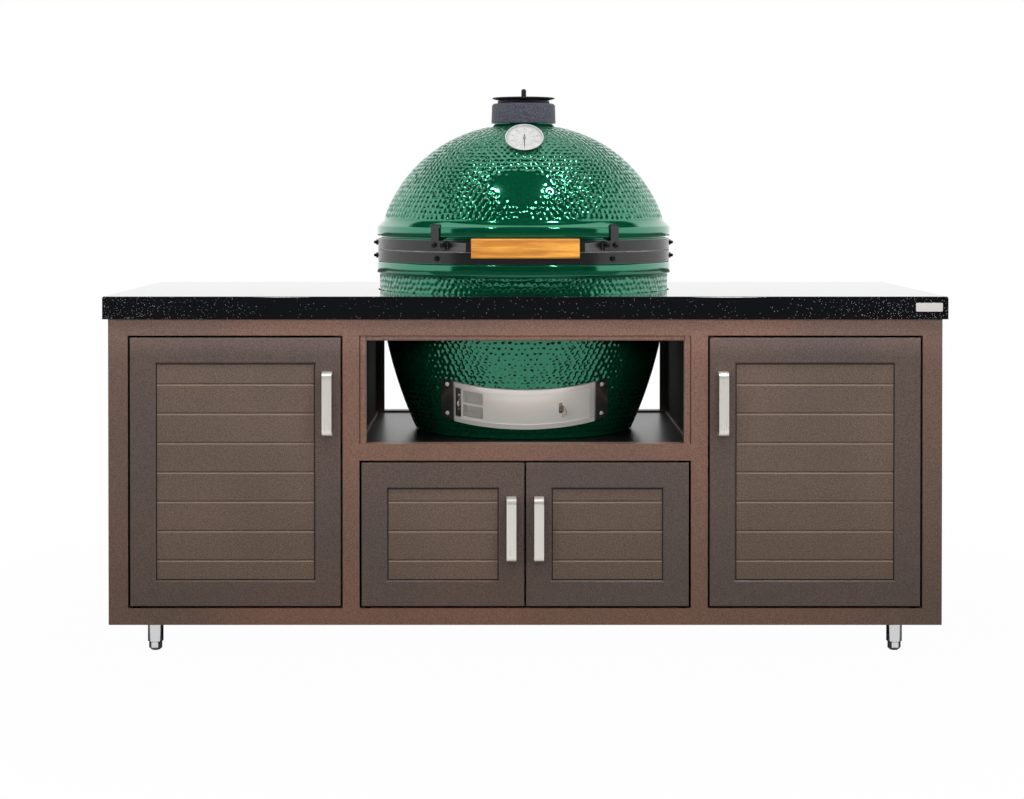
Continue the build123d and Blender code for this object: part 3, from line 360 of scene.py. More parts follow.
def metal(name, colour, gloss, streak=None, mirror=1.0, polished=None):
    # streak is the stretch of the brushing marks along each axis; none gives a polished face;
    # mirror is the share of clear reflection, almost whole where the polished share is 1
    kit = finish(name)
    if polished:
        mirror = mirror + polished(kit).smooth(0, 1) * (brushing["polish"] - mirror)
    marks = kit.noise(kit.place(streak or brushing["plain"]), 1.0, detail=4, rough=0.7)
    cloud = kit.noise(kit.place(), brushing["cloud"])
    shade = kit.mix([c * brushing["dark"] for c in colour], colour, marks)
    rough = marks.sway(gloss, brushing["streakSpread" if streak else "plainSpread"])
    rough = cloud.sway(rough, brushing["cloudSpread"])
    return kit.surface(Base_Color=shade, Metallic=mirror, Roughness=rough,
                       Normal=kit.bump(marks, brushing))


glaze = {
    "thin": (0.0012, 0.052, 0.022), "pooled": (0.0006, 0.026, 0.010), "drifted": (0.002, 0.070, 0.034),
    "drift": 14, "driftShare": 0.5, "fine": 900, "gloss": 0.06, "fineGloss": 0.04, "ior": 1.8,
    "tint": (0.15, 1.0, 0.60), "coat": 0.6, "ripple": 220, "depth": 0.0002, "relief": 0.2,
}


def greenGlaze(name):
    # deep gloss glaze that pools darker in the hollows and thins on the ridges
    kit = finish(name)
    spot = kit.place()
    pool = kit.node("Attribute", {"attribute_name": "hollow"}, out="Fac")
    colour = kit.mix(glaze["thin"], glaze["pooled"], pool)
    drifted = kit.mix(colour, glaze["drifted"], glaze["driftShare"])
    fine, ripple = (kit.noise(spot, glaze[texture], detail=2) for texture in ("fine", "ripple"))
    return kit.surface(Base_Color=kit.mix(colour, drifted, kit.noise(spot, glaze["drift"])),
                       Roughness=glaze["gloss"] + fine * glaze["fineGloss"],
                       IOR=glaze["ior"], Specular_IOR_Level=1.0, Specular_Tint=glaze["tint"],
                       Coat_Weight=glaze["coat"], **clearCoat,
                       Normal=kit.bump(ripple, glaze))


clay = {"dark": (0.42, 0.35, 0.27), "pale": (0.56, 0.49, 0.39), "cloud": 25, "grain": 300, "gloss": 0.85,
        "depth": 0.001, "relief": 0.5}


def fireClay(name):
    # coarse unglazed clay, clouded between two buff tones
    kit = finish(name)
    spot = kit.place()
    grain = kit.noise(spot, clay["grain"], detail=4, rough=0.7)
    return kit.surface(Base_Color=kit.mix(clay["dark"], clay["pale"], kit.noise(spot, clay["cloud"])),
                       Roughness=clay["gloss"], Normal=kit.bump(grain, clay))


wood = {
    "warp": (5, 5, 5), "warpBy": 2.0, "streak": (4, 90, 90), "streakRange": (0.34, 0.64),
    "pores": (40, 900, 900), "poreRange": (0.42, 0.62),
    "poreShade": 0.22, "poreGloss": 0.06, "poreRelief": 0.5,
    "dark": (0.52, 0.180, 0.010), "pale": (0.92, 0.42, 0.042), "deep": (0.45, 0.15, 0.02),
    "gloss": 0.42, "wax": 0.25, "waxGloss": 0.25, "depth": 0.0002, "relief": 0.35,
}


def oiledWood(name):
    # straight grain along the grip: long streaks, finer pores and a waxed face
    kit = finish(name)
    warp = kit.noise(kit.place(wood["warp"]), 1.0, detail=2) * wood["warpBy"]
    bent = kit.vector("ADD", kit.place(wood["streak"]), kit.node("CombineXYZ", {}, {"Y": warp, "Z": warp}))
    streak = kit.noise(bent, 1.0, detail=5, rough=0.6)
    pores = kit.noise(kit.place(wood["pores"]), 1.0, rough=0.6).smooth(*wood["poreRange"])
    colour = kit.mix(wood["dark"], wood["pale"], streak.smooth(*wood["streakRange"]))
    height = pores * wood["poreRelief"] + streak * (1 - wood["poreRelief"])
    return kit.surface(Base_Color=kit.mix(colour, wood["deep"], (1 - pores) * wood["poreShade"]),
                       Roughness=wood["gloss"] - pores * wood["poreGloss"],
                       Coat_Weight=wood["wax"], Coat_Roughness=wood["waxGloss"],
                       Normal=kit.bump(height, wood))


cloth = {"dark": (0.30, 0.30, 0.29), "pale": (0.62, 0.61, 0.58), "tuft": 500, "tuftRange": (0.3, 0.7),
         "fibre": 1400, "gloss": 0.95, "sheen": 0.4, "depth": 0.0006, "relief": 0.8}


def feltCloth(name):
    # matted fibres in two greys
    kit = finish(name)
    spot = kit.place()
    fibre = kit.noise(spot, cloth["fibre"], detail=4, rough=0.7)
    colour = kit.mix(cloth["dark"], cloth["pale"], kit.noise(spot, cloth["tuft"]).smooth(*cloth["tuftRange"]))
    return kit.surface(Base_Color=colour, Roughness=cloth["gloss"], Sheen_Weight=cloth["sheen"],
                       Normal=kit.bump(fibre, cloth))


paint = {"cloud": 80, "dark": 0.95, "cloudSpread": 0.08, "shine": 0.2, "ripple": 1200, "depth": 0.00005,
         "relief": 0.2}


def enamel(name, colour, gloss):
    # smooth paint with a faint cloud
    kit = finish(name)
    spot = kit.place()
    cloud = kit.noise(spot, paint["cloud"])
    ripple = kit.noise(spot, paint["ripple"], detail=2)
    return kit.surface(Base_Color=kit.mix([c * paint["dark"] for c in colour], colour, cloud),
                       Roughness=cloud.sway(gloss, paint["cloudSpread"]), Specular_IOR_Level=paint["shine"],
                       Normal=kit.bump(ripple, paint))


glass = {"smear": 60, "gloss": 0.02, "ior": 1.45}


def clearGlass(name):
    kit = finish(name)
    smear = kit.noise(kit.place(), glass["smear"])
    return kit.surface(Base_Color=white, Roughness=smear * glass["gloss"], IOR=glass["ior"],
                       Transmission_Weight=1.0)


chrome, plateSteel, leafSteel = (0.80, 0.80, 0.81), (0.98, 0.93, 0.88), (0.99, 0.95, 0.90)
lengthwise = (10, 500, 900)        # brushing marks along the draft slide


def makeFinishes():
    return {
        # the pale heights paint light onto the top rail and the top of each door leaf
        "brown_frame": powderCoat("brownFrame", (0.205, 0.113, 0.083), (0.119, 0.085, 0.067), 0.38,
                                  ends=(0.55, 0.92), pale=(0.66, 0.78)),
        "brown_panel": powderCoat("brownPanel", (0.150, 0.104, 0.080), (0.130, 0.093, 0.074), 0.40,
                                  groove=grooveHighlight),
        "brown_door": powderCoat("brownDoor", (0.112, 0.079, 0.066), (0.096, 0.073, 0.067), 0.38,
                                 pale=(0.68, 0.73)),
        "black_sheet": satinBlack("blackSheet", (0.008, 0.008, 0.009), 0.32, shine=0.3),
        # near-black and almost unreflective, used as painted shade on the niche's partitions and the pivot
        # pins
        "matt_black": satinBlack("mattBlack", (0.0016, 0.0016, 0.0018), 0.85, grainScale=500, shine=0.05),
        "counter_black": flakeCoat("counterBlack"),
        "leg_chrome": metal("legChrome", chrome, 0.08),
        "plated_steel": metal("platedSteel", (0.60, 0.60, 0.62), 0.30, (200, 200, 200)),
        "magnet_black": satinBlack("magnetBlack", (0.03, 0.03, 0.03), 0.6),
        "pull_nickel": metal("pullNickel", (0.98, 0.94, 0.87), 0.30, (900, 900, 14), mirror=0.6),
        "green_glaze": greenGlaze("greenGlaze"),
        "fire_clay": fireClay("fireClay"),
        "cast_iron": castIron("castIron", (0.006, 0.006, 0.007), (0.022, 0.022, 0.026)),
        "collar_iron": castIron("collarIron", (0.022, 0.023, 0.028), (0.110, 0.112, 0.150)),
        "grid_steel": metal("gridSteel", (0.58, 0.58, 0.58), 0.32, (900, 12, 900)),
        "felt": feltCloth("feltCloth"),
        "black_steel": satinBlack("blackSteel", (0.007, 0.007, 0.008), 0.22, shine=0.8),
        "spring_steel": metal("springSteel", (0.45, 0.45, 0.47), 0.30, (300, 300, 300)),
        "draft_steel": metal("draftSteel", plateSteel, 0.20, lengthwise, mirror=0.32),
        "draft_plate": metal("draftPlate", plateSteel, 0.18, lengthwise, mirror=0.30, polished=tabShare),
        "slide_steel": metal("slideSteel", leafSteel, 0.18, lengthwise, mirror=0.22, polished=handleShare),
        "oiled_wood": oiledWood("oiledWood"),
        "dial_chrome": metal("dialChrome", chrome, 0.08),
        "dial_white": enamel("dialWhite", (0.88, 0.88, 0.87), 0.45),
        "dial_grey": enamel("dialGrey", (0.06, 0.06, 0.07), 0.45),
        "needle_black": enamel("needleBlack", (0.012, 0.012, 0.012), 0.45),
        "dial_glass": clearGlass("dialGlass"),
    }


ownFinish = {        # nodes whose finish isn't the one of their slot
    "vent_collar": "collar_iron", "draft_frame": "draft_plate", "draft_door": "slide_steel",
    # the near-black finish on the partitions and the pivot pins is painted shade of the unlit niche and the
    # door gaps
    "ember_screen": "slide_steel", "partitions": "matt_black", "door_pivot_pins": "matt_black",
}


def dressNodes():
    for part in frame["record"]["subparts"]:
        node, slot = part["node"], part["material_slot"]
        if slot == "brown_frame" and "door" in node:
            slot = "brown_door"
        nodes[node].material_slots[0].material = finishes[ownFinish.get(node, slot)]


# Mesh kit
def meshFrom(name, points, *faceSets):
    # points as rows of three, and tables of faces, each with one row of point numbers for a face
    mesh = bpy.data.meshes.new(name)
    corners = np.concatenate([faces.ravel() for faces in faceSets])
    sizes = np.concatenate([np.full(len(faces), faces.shape[1]) for faces in faceSets])
    mesh.vertices.add(len(points))
    mesh.vertices.foreach_set("co", np.asarray(points, np.float32).ravel())
    mesh.loops.add(len(corners))
    mesh.loops.foreach_set("vertex_index", corners.astype(np.int32))
    mesh.polygons.add(len(sizes))
    mesh.polygons.foreach_set("loop_start", np.concatenate([[0], np.cumsum(sizes)[:-1]]).astype(np.int32))
    mesh.update(calc_edges=True)
    mesh.validate()
    return mesh


def joined(parts):
    # points and faces of several shapes as one: each shape's faces count on from the points before it
    starts = np.cumsum([0] + [len(points) for points, _ in parts])
    faces = [table + start for (_, table), start in zip(parts, starts)]
    return np.concatenate([points for points, _ in parts]), np.concatenate(faces)


def addPiece(name, mesh, slot, body, creaseAngle=40):
    mesh.polygons.foreach_set("use_smooth", np.ones(len(mesh.polygons), bool))
    mesh.set_sharp_from_angle(angle=np.radians(creaseAngle))
    piece = newObject(name, mesh)
    mesh.materials.clear()
    mesh.materials.append(finishes[slot])
    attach(piece, body)
    print(name + ",", len(mesh.polygons), "faces")
    return piece


def numbered(shape):
    return np.arange(np.prod(shape)).reshape(shape)


def gridFaces(index, closeAlong=False):
    # quads over a table of point numbers, rows along and columns round
    index = np.concatenate([index, index[:, :1]], 1)
    if closeAlong:
        index = np.concatenate([index, index[:1]], 0)
    return np.stack([index[:-1, :-1], index[:-1, 1:], index[1:, 1:], index[1:, :-1]], -1).reshape(-1, 4)


def ringStrip(lower, upper):
    # triangles between two rings of unlike counts: each edge takes the nearest point of the other ring
    n, m = len(lower), len(upper)
    i, j = np.arange(n), np.arange(m)
    apexUp = np.floor((i + 0.5) * m / n + 0.5).astype(int) % m
    apexDown = np.ceil((j + 0.5) * n / m - 0.5).astype(int) % n
    rising = np.stack([lower, np.roll(lower, -1), upper[apexUp]], -1)
    falling = np.stack([np.roll(upper, -1), upper, lower[apexDown]], -1)
    return np.concatenate([rising] * (n > 1) + [falling] * (m > 1))


def turns(count):
    return np.arange(count) * 2 * np.pi / count


def unit(angle):
    return np.stack([np.cos(angle), np.sin(angle)], -1)


def aboutAxis(radius, angle, height):
    # points on circles about the upright axis, angles from the front
    return np.stack([radius * np.sin(angle), -radius * np.cos(angle), height], -1).reshape(-1, 3)


def turned(bands, closed):
    # surface of turning: each band is a stretch of the outline (radius, height) with its own count round,
    # its dents sink along the outline's normal, and a strip of triangles joins each band to the next;
    # also gives the mesh how deep each point is dented and which faces are lining
    points, quads, lining, hollow, rings, start = [], [], [], [], [], 0
    for band in bands:
        outline, angle = np.asarray(band["outline"], float), turns(band["count"])
        radius, height = outline[:, :1] + 0 * angle, outline[:, 1:] + 0 * angle
        dent = 0 * radius
        if "dent" in band:
            dent = band["dent"](angle)
            radius, height = radius - dent * band["normal"][:, :1], height - dent * band["normal"][:, 1:]
        points.append(aboutAxis(radius, angle, height))
        hollow.append(dent.ravel())
        index = start + numbered(radius.shape)
        quads.append(gridFaces(index))
        lining.append(np.full(len(quads[-1]), band.get("lining", 0)))
        rings.append((index[0], index[-1]))
        start += radius.size
    following = rings[1:] + (rings[:1] if closed else [])
    strips = np.concatenate([ringStrip(last, first) for (_, last), (first, _) in zip(rings, following)])
    mesh = meshFrom("turned", np.concatenate(points) * mm, np.concatenate(quads), strips)
    depths = np.concatenate(hollow) / dimple["depth"]
    mesh.attributes.new("hollow", "FLOAT", "POINT").data.foreach_set("value", depths.astype(np.float32))
    marks = np.concatenate([*lining, np.zeros(len(strips))])
    mesh.attributes.new("lining", "INT", "FACE").data.foreach_set("value", marks.astype(np.int32))
    return mesh


def lineWithClay(mesh):
    marks = np.zeros(len(mesh.polygons), np.int32)
    mesh.attributes["lining"].data.foreach_get("value", marks)
    mesh.materials.append(finishes["fire_clay"])
    mesh.polygons.foreach_set("material_index", marks)


def roundedLine(points, radii, steps=5):
    # outline with its corners eased by short parabolas; radii are the lengths taken off each side of a corner
    line = [points[0]]
    share = np.linspace(0, 1, steps)[:, None]
    for before, corner, after, size in zip(points, points[1:], points[2:], radii):
        before, corner, after = (np.asarray(p, float) for p in (before, corner, after))
        start = corner + (before - corner) * size / np.linalg.norm(before - corner)
        end = corner + (after - corner) * size / np.linalg.norm(after - corner)
        line += list((1 - share) ** 2 * start + 2 * share * (1 - share) * corner + share ** 2 * end)
    return np.array(line + [points[-1]], float)


def arcThrough(a, b, c):
    # circle through three points: its centre, radius and angles at the first and the last point
    (ax, ay), (bx, by), (cx, cy) = a, b, c
    twice = 2 * (ax * (by - cy) + bx * (cy - ay) + cx * (ay - by))
    sa, sb, sc = ax * ax + ay * ay, bx * bx + by * by, cx * cx + cy * cy
    x = (sa * (by - cy) + sb * (cy - ay) + sc * (ay - by)) / twice
    y = (sa * (cx - bx) + sb * (ax - cx) + sc * (bx - ax)) / twice
    return (x, y), np.hypot(ax - x, ay - y), np.arctan2(ay - y, ax - x), np.arctan2(cy - y, cx - x)


def arcPoints(centre, radius, angles):
    return np.add(centre, radius * unit(angles))


def evaluated(made):
    return bpy.data.meshes.new_from_object(made.evaluated_get(bpy.context.evaluated_depsgraph_get()))


def carve(mesh, *cutters):
    # takes closed cutters, given as points and faces, out of a closed mesh
    body = newObject("carved", mesh)
    tools = [newObject("cutter", meshFrom("cutter", points, faces)) for points, faces in cutters]
    for tool in tools:
        cut = body.modifiers.new("cut", "BOOLEAN")
        cut.operation, cut.solver, cut.object = "DIFFERENCE", "MANIFOLD", tool
    bpy.context.view_layer.update()
    result = evaluated(body)
    for spare in [body, *tools]:
        bpy.data.objects.remove(spare)
    return result


# Dimples of the ceramic, in millimetres, with the seeds of their random offsets and depths
dimple = {
    "pitch": 15.0, "radius": 7.2, "depth": 2.5, "steepness": 1.5, "scatter": 4.6, "grid": 2.65,
    "share": 0.8, "shareSpread": 0.4, "acrossSeed": 1.0, "alongSeed": 5.0, "depthSeed": 9.0,
}


def chance(row, cell, seed):
    # repeatable number from -0.5 to 0.5: what a large multiple of a sine has behind its point
    rowStep, cellStep, stretch = 12.9898, 78.233, 43758.5453
    return np.modf(np.abs(np.sin(row * rowStep + cell * cellStep + seed) * stretch))[0] - 0.5


def dimpleField(arc, wall, limits, bare=None, deeper=1.0):
    # rows of hollows packed like a honeycomb along the wall: each row holds as many as fit round it, every
    # second row is shifted by half a pitch, and an ellipse about an angle and an arc may stay bare
    gap = dimple["pitch"] * np.sqrt(3) / 2

    def depth(angle):
        along, deepest = arc[:, None] + 0 * angle, 0
        for step in (-1, 0, 1):
            row = np.round(along / gap) + step
            rowArc = row * gap
            reach = wall.outline(rowArc)[..., 0]
            count = np.round(2 * np.pi * reach / dimple["pitch"])
            turn = angle / (2 * np.pi) * count - 0.5 * (row % 2)
            cell = np.round(turn) % count
            offset = (turn - np.round(turn)) * 2 * np.pi * reach / count
            across = offset - dimple["scatter"] * chance(row, cell, dimple["acrossSeed"])
            off = along - rowArc - dimple["scatter"] * chance(row, cell, dimple["alongSeed"])
            share = dimple["share"] + dimple["shareSpread"] * chance(row, cell, dimple["depthSeed"])
            share = ((rowArc >= limits[0]) & (rowArc <= limits[1])) * share
            if bare:
                middle = (cell + 0.5 * (row % 2)) / count * 2 * np.pi
                middle = (middle - bare["angle"] + np.pi) % (2 * np.pi) - np.pi
                away = np.hypot(middle * reach / bare["wide"], (rowArc - bare["arc"]) / bare["high"])
                share = share * np.clip((away - bare["from"]) / bare["fade"], 0, 1)
            bowl = np.clip(1 - (across ** 2 + off ** 2) / dimple["radius"] ** 2, 0, 1) ** dimple["steepness"]
            deepest = np.maximum(deepest, share * bowl)
        return dimple["depth"] * deeper * deepest

    return depth


class Wall:
    # outer wall along a circular arc between two angles, then straight on along a neck that may lean
    def __init__(self, centre, radius, low, high, lean=0.0):
        self.centre, self.radius, self.low, self.high, self.lean = centre, radius, low, high, lean
        self.arcLength = radius * (high - low)

    def normal(self, arc):
        return unit(np.minimum(self.low + arc / self.radius, self.high))

    def outline(self, arc):
        past = np.maximum(arc - self.arcLength, 0)
        return np.add(self.centre, self.radius * self.normal(arc)) + np.stack([past * self.lean, past], -1)

    def bands(self, arcs, limits, count, bare=None, deeper=1.0):
        # dimpled bands, each with the count round that keeps its faces about square
        made = []
        for part in np.array_split(arcs, count):
            outline = self.outline(part)
            made.append({"outline": outline, "normal": self.normal(part),
                         "count": int(2 * np.pi * outline[:, 0].mean() / dimple["grid"]),
                         "dent": dimpleField(part, self, limits, bare, deeper)})
        return made


# Both ceramic shells, and the lid, in millimetres; an ease is what a corner of an outline gives up
ceramic = {"rimCount": 288, "plainCount": 144, "easeSteps": 6, "insideSteps": 20, "slope": 1.0}
lid = {
    "lip": 925.0, "lipInner": 344.0, "seat": 356.0, "groove": 351.0, "grooveHigh": 4.0, "rim": 361.5,
    "shoulder": 3.5, "rimLow": 956.5, "rimHigh": 982.5, "rimEase": [1.5, 0.4, 1.2, 1.2, 3.5, 2.2, 2.2],
    "domeCentre": (22.7, 891.0), "domeRadius": 338.65, "domeWall": 20.0, "domeStart": 994.0, "wallStart": 1.2,
    "neck": 72.0, "neckFoot": 79.0, "neckStep": (1.0, 0.6), "neckRise": 4.0, "neckTop": 1262.0,
    "neckEase": [2.0, 2.0], "chimney": 52.0, "chimneyEdge": 1.0,
    "dimpleMargin": (7.0, 9.0), "deeper": 1.3, "bands": 6,
    "bare": {"angle": np.radians(-2.0), "arc": 92.0, "wide": 66.0, "high": 44.0, "from": 0.85, "fade": 0.5},
}


def makeLid():
    # turned outline: rim, dome as a circular arc, neck, and the inner wall as an arc about the same centre
    big, small, (cr, cz) = lid["domeRadius"], lid["domeRadius"] - lid["domeWall"], lid["domeCentre"]
    low, high = np.arcsin((lid["domeStart"] - cz) / big), np.arccos((lid["neckFoot"] - cr) / big)
    dome = Wall((cr, cz), big, low, high)
    arcs = np.linspace(lid["wallStart"], dome.arcLength, int(dome.arcLength / dimple["grid"]))
    limits = (lid["dimpleMargin"][0], dome.arcLength - lid["dimpleMargin"][1])
    seat, groove, rimOut, shoulder = lid["seat"], lid["groove"], lid["rim"], lid["shoulder"]
    slope, plain = ceramic["slope"], ceramic["plainCount"]
    grooveLow = lid["rimLow"] - lid["grooveHigh"]
    rim = roundedLine(
        [(lid["lipInner"], lid["lip"]), (seat, lid["lip"]), (seat, grooveLow - slope), (groove, grooveLow),
         (groove, lid["rimLow"]), (rimOut, lid["rimLow"]), (rimOut, lid["rimHigh"] - shoulder),
         (rimOut - shoulder, lid["rimHigh"]), (cr + big * np.cos(low), lid["domeStart"])],
        lid["rimEase"], ceramic["easeSteps"])
    neck, neckTop, chimney, edge = lid["neck"], lid["neckTop"], lid["chimney"], lid["chimneyEdge"]
    footZ, (stepIn, stepUp) = cz + big * np.sin(high), lid["neckStep"]
    stem = roundedLine([(lid["neckFoot"] - stepIn, footZ + stepUp), (neck, footZ + lid["neckRise"]),
                        (neck, neckTop), (chimney + edge, neckTop)], lid["neckEase"])
    innerTop = cz + np.sqrt(small ** 2 - (chimney - cr) ** 2)
    ends = np.arccos((chimney - cr) / small), np.arcsin((lid["lip"] - cz) / small)
    sweep = np.linspace(*ends, ceramic["insideSteps"])
    inside = np.concatenate([[(chimney, neckTop - edge), (chimney, innerTop + lid["neckRise"])],
                             arcPoints((cr, cz), small, sweep)])
    walls = dome.bands(arcs, limits, lid["bands"], lid["bare"], lid["deeper"])
    mesh = turned([{"outline": rim, "count": ceramic["rimCount"]}, *walls, {"outline": stem, "count": plain},
                   {"outline": inside, "count": plain, "lining": 1}], True)
    piece = addPiece("lidShell", mesh, "green_glaze", "lid")
    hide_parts("kamado_lid")
    lineWithClay(mesh)


# Ceramic base and the leaning cylinder that its draft slide follows
base = {
    "foot": (265.0, 481.0), "middle": (322.5, 638.0), "shoulder": (354.0, 795.0), "neck": (355.0, 862.5),
    "wall": 22.0, "floor": 511.0, "floorRing": 60.0, "footEase": [1.5], "footEdge": 2.0,
    "groove": 351.0, "rim": 361.5, "rimLow": 865.8, "rimHigh": 893.0, "seat": 356.0, "lip": 921.0,
    "lipInner": 345.0, "rimEase": [1.2, 1.2, 3.5, 3.5, 0.4, 1.5],
    "wallEnds": (3.0, 1.0), "rowStretch": 1.25, "dimpleMargin": (8.0, 4.0), "deeper": 1.5, "bands": 4,
    "hidden": (775.0, 818.0), "hiddenSteps": 8, "hiddenCount": 240,
}
draft = {
    "height": 655.2, "lean": np.radians(18.9),
    "seat": 307.5, "seatAngle": 40.6, "seatHalf": 52.0, "seatSteps": 60, "cutOut": 60.0,
    "port": (-28.5, 6.0), "portHalf": 33.0, "portDeep": 90.0, "portSteps": 40, "overlap": 1.0,
    "screen": 309.9, "window": (-27.8, -18.4), "windowBar": 3.0,
    "plate": 309.0, "screwAngle": 36.2, "screwHalf": 37.0,
    "tabFrom": (160.0, 172.0), "proudFrom": (312.4, 312.8), "screenEnd": (-147.0, -152.0),
}


def draftPoint(radius, turn, height):
    # point in metres from radius, angle from the front and height along the leaning axis
    c, s = np.cos(draft["lean"]), np.sin(draft["lean"])
    x, out = radius * np.sin(turn) + 0 * height, -radius * np.cos(turn) + 0 * height
    return np.stack([x, out * c - height * s, draft["height"] + out * s + height * c], -1) * mm


def bentBox(radii, angles, heights, steps):
    # block bent round the leaning axis: a rectangle of radius and height carried along an arc, ends closed
    turn = np.radians(np.linspace(*angles, steps))
    (near, far), (low, high) = radii, heights
    section = np.array([(near, low), (far, low), (far, high), (near, high)])
    points = draftPoint(section[None, :, 0], turn[:, None], section[None, :, 1]).reshape(-1, 3)
    index = numbered((steps, 4))
    sides = gridFaces(index)[:, ::-1]
    return points, np.concatenate([sides, index[:1], index[-1:, ::-1]])


def makeBase():
    # turned outline: bottom, wall as a circular arc with a straight neck, rim and an arc inside; then the
    # seat of the draft slide and its port are cut out
    foot, shoulder, neck, wall = base["foot"], base["shoulder"], base["neck"], base["wall"]
    straight = neck[1] - shoulder[1]
    outer = Wall(*arcThrough(foot, base["middle"], shoulder), (neck[0] - shoulder[0]) / straight)
    total = outer.arcLength + straight
    first, last = base["wallEnds"]
    arcs = np.linspace(first, total - last, int(total / dimple["grid"] / base["rowStretch"]))
    heights = outer.outline(arcs)[:, 1]
    limits = (base["dimpleMargin"][0], total - base["dimpleMargin"][1])
    below, above = arcs[heights < base["hidden"][0]], arcs[heights > base["hidden"][1]]
    between = outer.outline(np.linspace(below[-1], above[0], base["hiddenSteps"])[1:-1])
    walls = outer.bands(below, limits, base["bands"], deeper=base["deeper"])
    upper = outer.bands(above, limits, 1)
    edge, ring = base["footEdge"], base["floorRing"]
    bottom = roundedLine([(ring, foot[1]), (foot[0] - edge, foot[1]), outer.outline(edge)], base["footEase"])
    groove, rimOut, seat, lip = base["groove"], base["rim"], base["seat"], base["lip"]
    slope, plain = ceramic["slope"], ceramic["plainCount"]
    rim = roundedLine(
        [neck, (groove, neck[1] + slope), (groove, base["rimLow"]), (rimOut, base["rimLow"]),
         (rimOut, base["rimHigh"]), (seat, base["rimHigh"] + slope), (seat, lip), (base["lipInner"], lip)],
        base["rimEase"], ceramic["easeSteps"])
    innerFoot, innerShoulder = (foot[0] - wall, base["floor"]), (shoulder[0] - wall, shoulder[1])
    innerMiddle = base["middle"][0] - wall, base["middle"][1]
    centre, radius, start, end = arcThrough(innerFoot, innerMiddle, innerShoulder)
    inside = np.concatenate([[(innerShoulder[0], lip)],
                             arcPoints(centre, radius, np.linspace(end, start, ceramic["insideSteps"])),
                             [(ring, base["floor"])]])
    mesh = turned(
        [{"outline": [(0, foot[1])], "count": 1}, {"outline": bottom, "count": plain}, *walls,
         {"outline": between, "count": base["hiddenCount"]}, *upper,
         {"outline": rim, "count": ceramic["rimCount"]}, {"outline": inside, "count": plain, "lining": 1},
         {"outline": [(0, base["floor"])], "count": 1}], False)
    slide, angle, half, portHalf = draft["seat"], draft["seatAngle"], draft["seatHalf"], draft["portHalf"]
    pocket = bentBox((slide, slide + draft["cutOut"]), (-angle, angle), (-half, half), draft["seatSteps"])
    port = bentBox((slide - draft["portDeep"], slide + draft["overlap"]), draft["port"],
                   (-portHalf, portHalf), draft["portSteps"])
    mesh = carve(mesh, pocket, port)
    piece = addPiece("baseShell", mesh, "green_glaze", "cabinet")
    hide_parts("kamado_base")
    lineWithClay(mesh)


# Felt seals on the two lips: a flat strip whose outer edge swells into the seam between the bands
felt = {
    "inner": 341.0, "outer": 355.5, "nose": 358.0, "low": 921.0, "seam": 923.0, "gap": 0.1, "count": 720,
    "noseFoot": 0.8, "noseRise": (0.40, 0.45), "ease": [0.3, 0.5, 0.3, 0.5, 0.3], "easeSteps": 4,
    "fray": 0.35, "frayGrain": 97, "fraySeed": 2.0, "frayWaves": 41, "crease": 60,
}


def makeFelt():
    # closed outline carried round the axis, its outer points moved in and out by a wave and by chance
    inner, outer, nose = felt["inner"], felt["outer"], felt["nose"]
    angle = turns(felt["count"])
    seals = (("baseFelt", "base_gasket", "cabinet", -1), ("lidFelt", "lid_gasket", "lid", 1))
    for name, node, body, side in seals:
        face, back = felt["seam"] + side * felt["gap"], felt["seam"] + side * (felt["seam"] - felt["low"])
        foot, swell = (back - (back - face) * rise for rise in felt["noseRise"])
        outline = [(inner, face), (inner, back), (outer, back), (outer + felt["noseFoot"], foot),
                   (nose, swell), (nose, face)]
        outline = roundedLine(outline + outline[:1], felt["ease"], felt["easeSteps"])[:-1]
        order = np.arange(len(outline))[:, None]
        wander = chance(order, angle * felt["frayGrain"], felt["fraySeed"])
        wander = felt["fray"] * (wander + np.sin(angle * felt["frayWaves"] + order))
        radius = outline[:, :1] + wander * (outline[:, :1] > outer)
        points = aboutAxis(radius, angle, outline[:, 1:] + 0 * angle) * mm
        faces = gridFaces(numbered(radius.shape), True)
        mesh = meshFrom(name, points, faces if side < 0 else faces[:, ::-1])
        piece = addPiece(name, mesh, "felt", body, felt["crease"])
        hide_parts(node)


# Lift springs on the hinge pin: a leg, a coil about the pin and a leg
spring = {"y": 406.0, "z": 923.0, "radius": 12.0, "wire": 4.0, "pitch": 5.5, "turns": 4.5, "start": 24.0,
          "leg": 42.6, "steps": 150, "sides": 12}


def makeSprings():
    # circle carried along a helix about the pin and along a straight leg at each of its ends
    sweep = np.linspace(0, spring["turns"] * 2 * np.pi, spring["steps"])
    rise = spring["pitch"] / (2 * np.pi)
    turn = turns(spring["sides"])[None, :, None]
    parts = []
    for start in (spring["start"], -spring["start"] - spring["pitch"] * spring["turns"]):
        out = np.stack([0 * sweep, np.cos(sweep - np.pi / 2), np.sin(sweep - np.pi / 2)], -1)
        ahead = np.stack([0 * sweep + rise, -spring["radius"] * out[:, 2], spring["radius"] * out[:, 1]], -1)
        ahead /= np.linalg.norm(ahead, axis=1, keepdims=True)
        line = np.stack([start + rise * sweep, spring["y"] + spring["radius"] * out[:, 1],
                         spring["z"] + spring["radius"] * out[:, 2]], -1)
        leg = ahead * spring["leg"]
        line = np.concatenate([line[:1] - leg[:1], line, line[-1:] + leg[-1:]])
        out, ahead = (np.concatenate([v[:1], v, v[-1:]]) for v in (out, ahead))
        ring = np.cos(turn) * out[:, None] + np.sin(turn) * np.cross(ahead, out)[:, None]
        tube = line[:, None] + spring["wire"] / 2 * ring
        parts.append((tube.reshape(-1, 3), gridFaces(numbered(tube.shape[:2]))))
    points, faces = joined(parts)
    piece = addPiece("hingeSprings", meshFrom("hingeSprings", points * mm, faces), "spring_steel", "cabinet")
    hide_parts("hinge_springs")


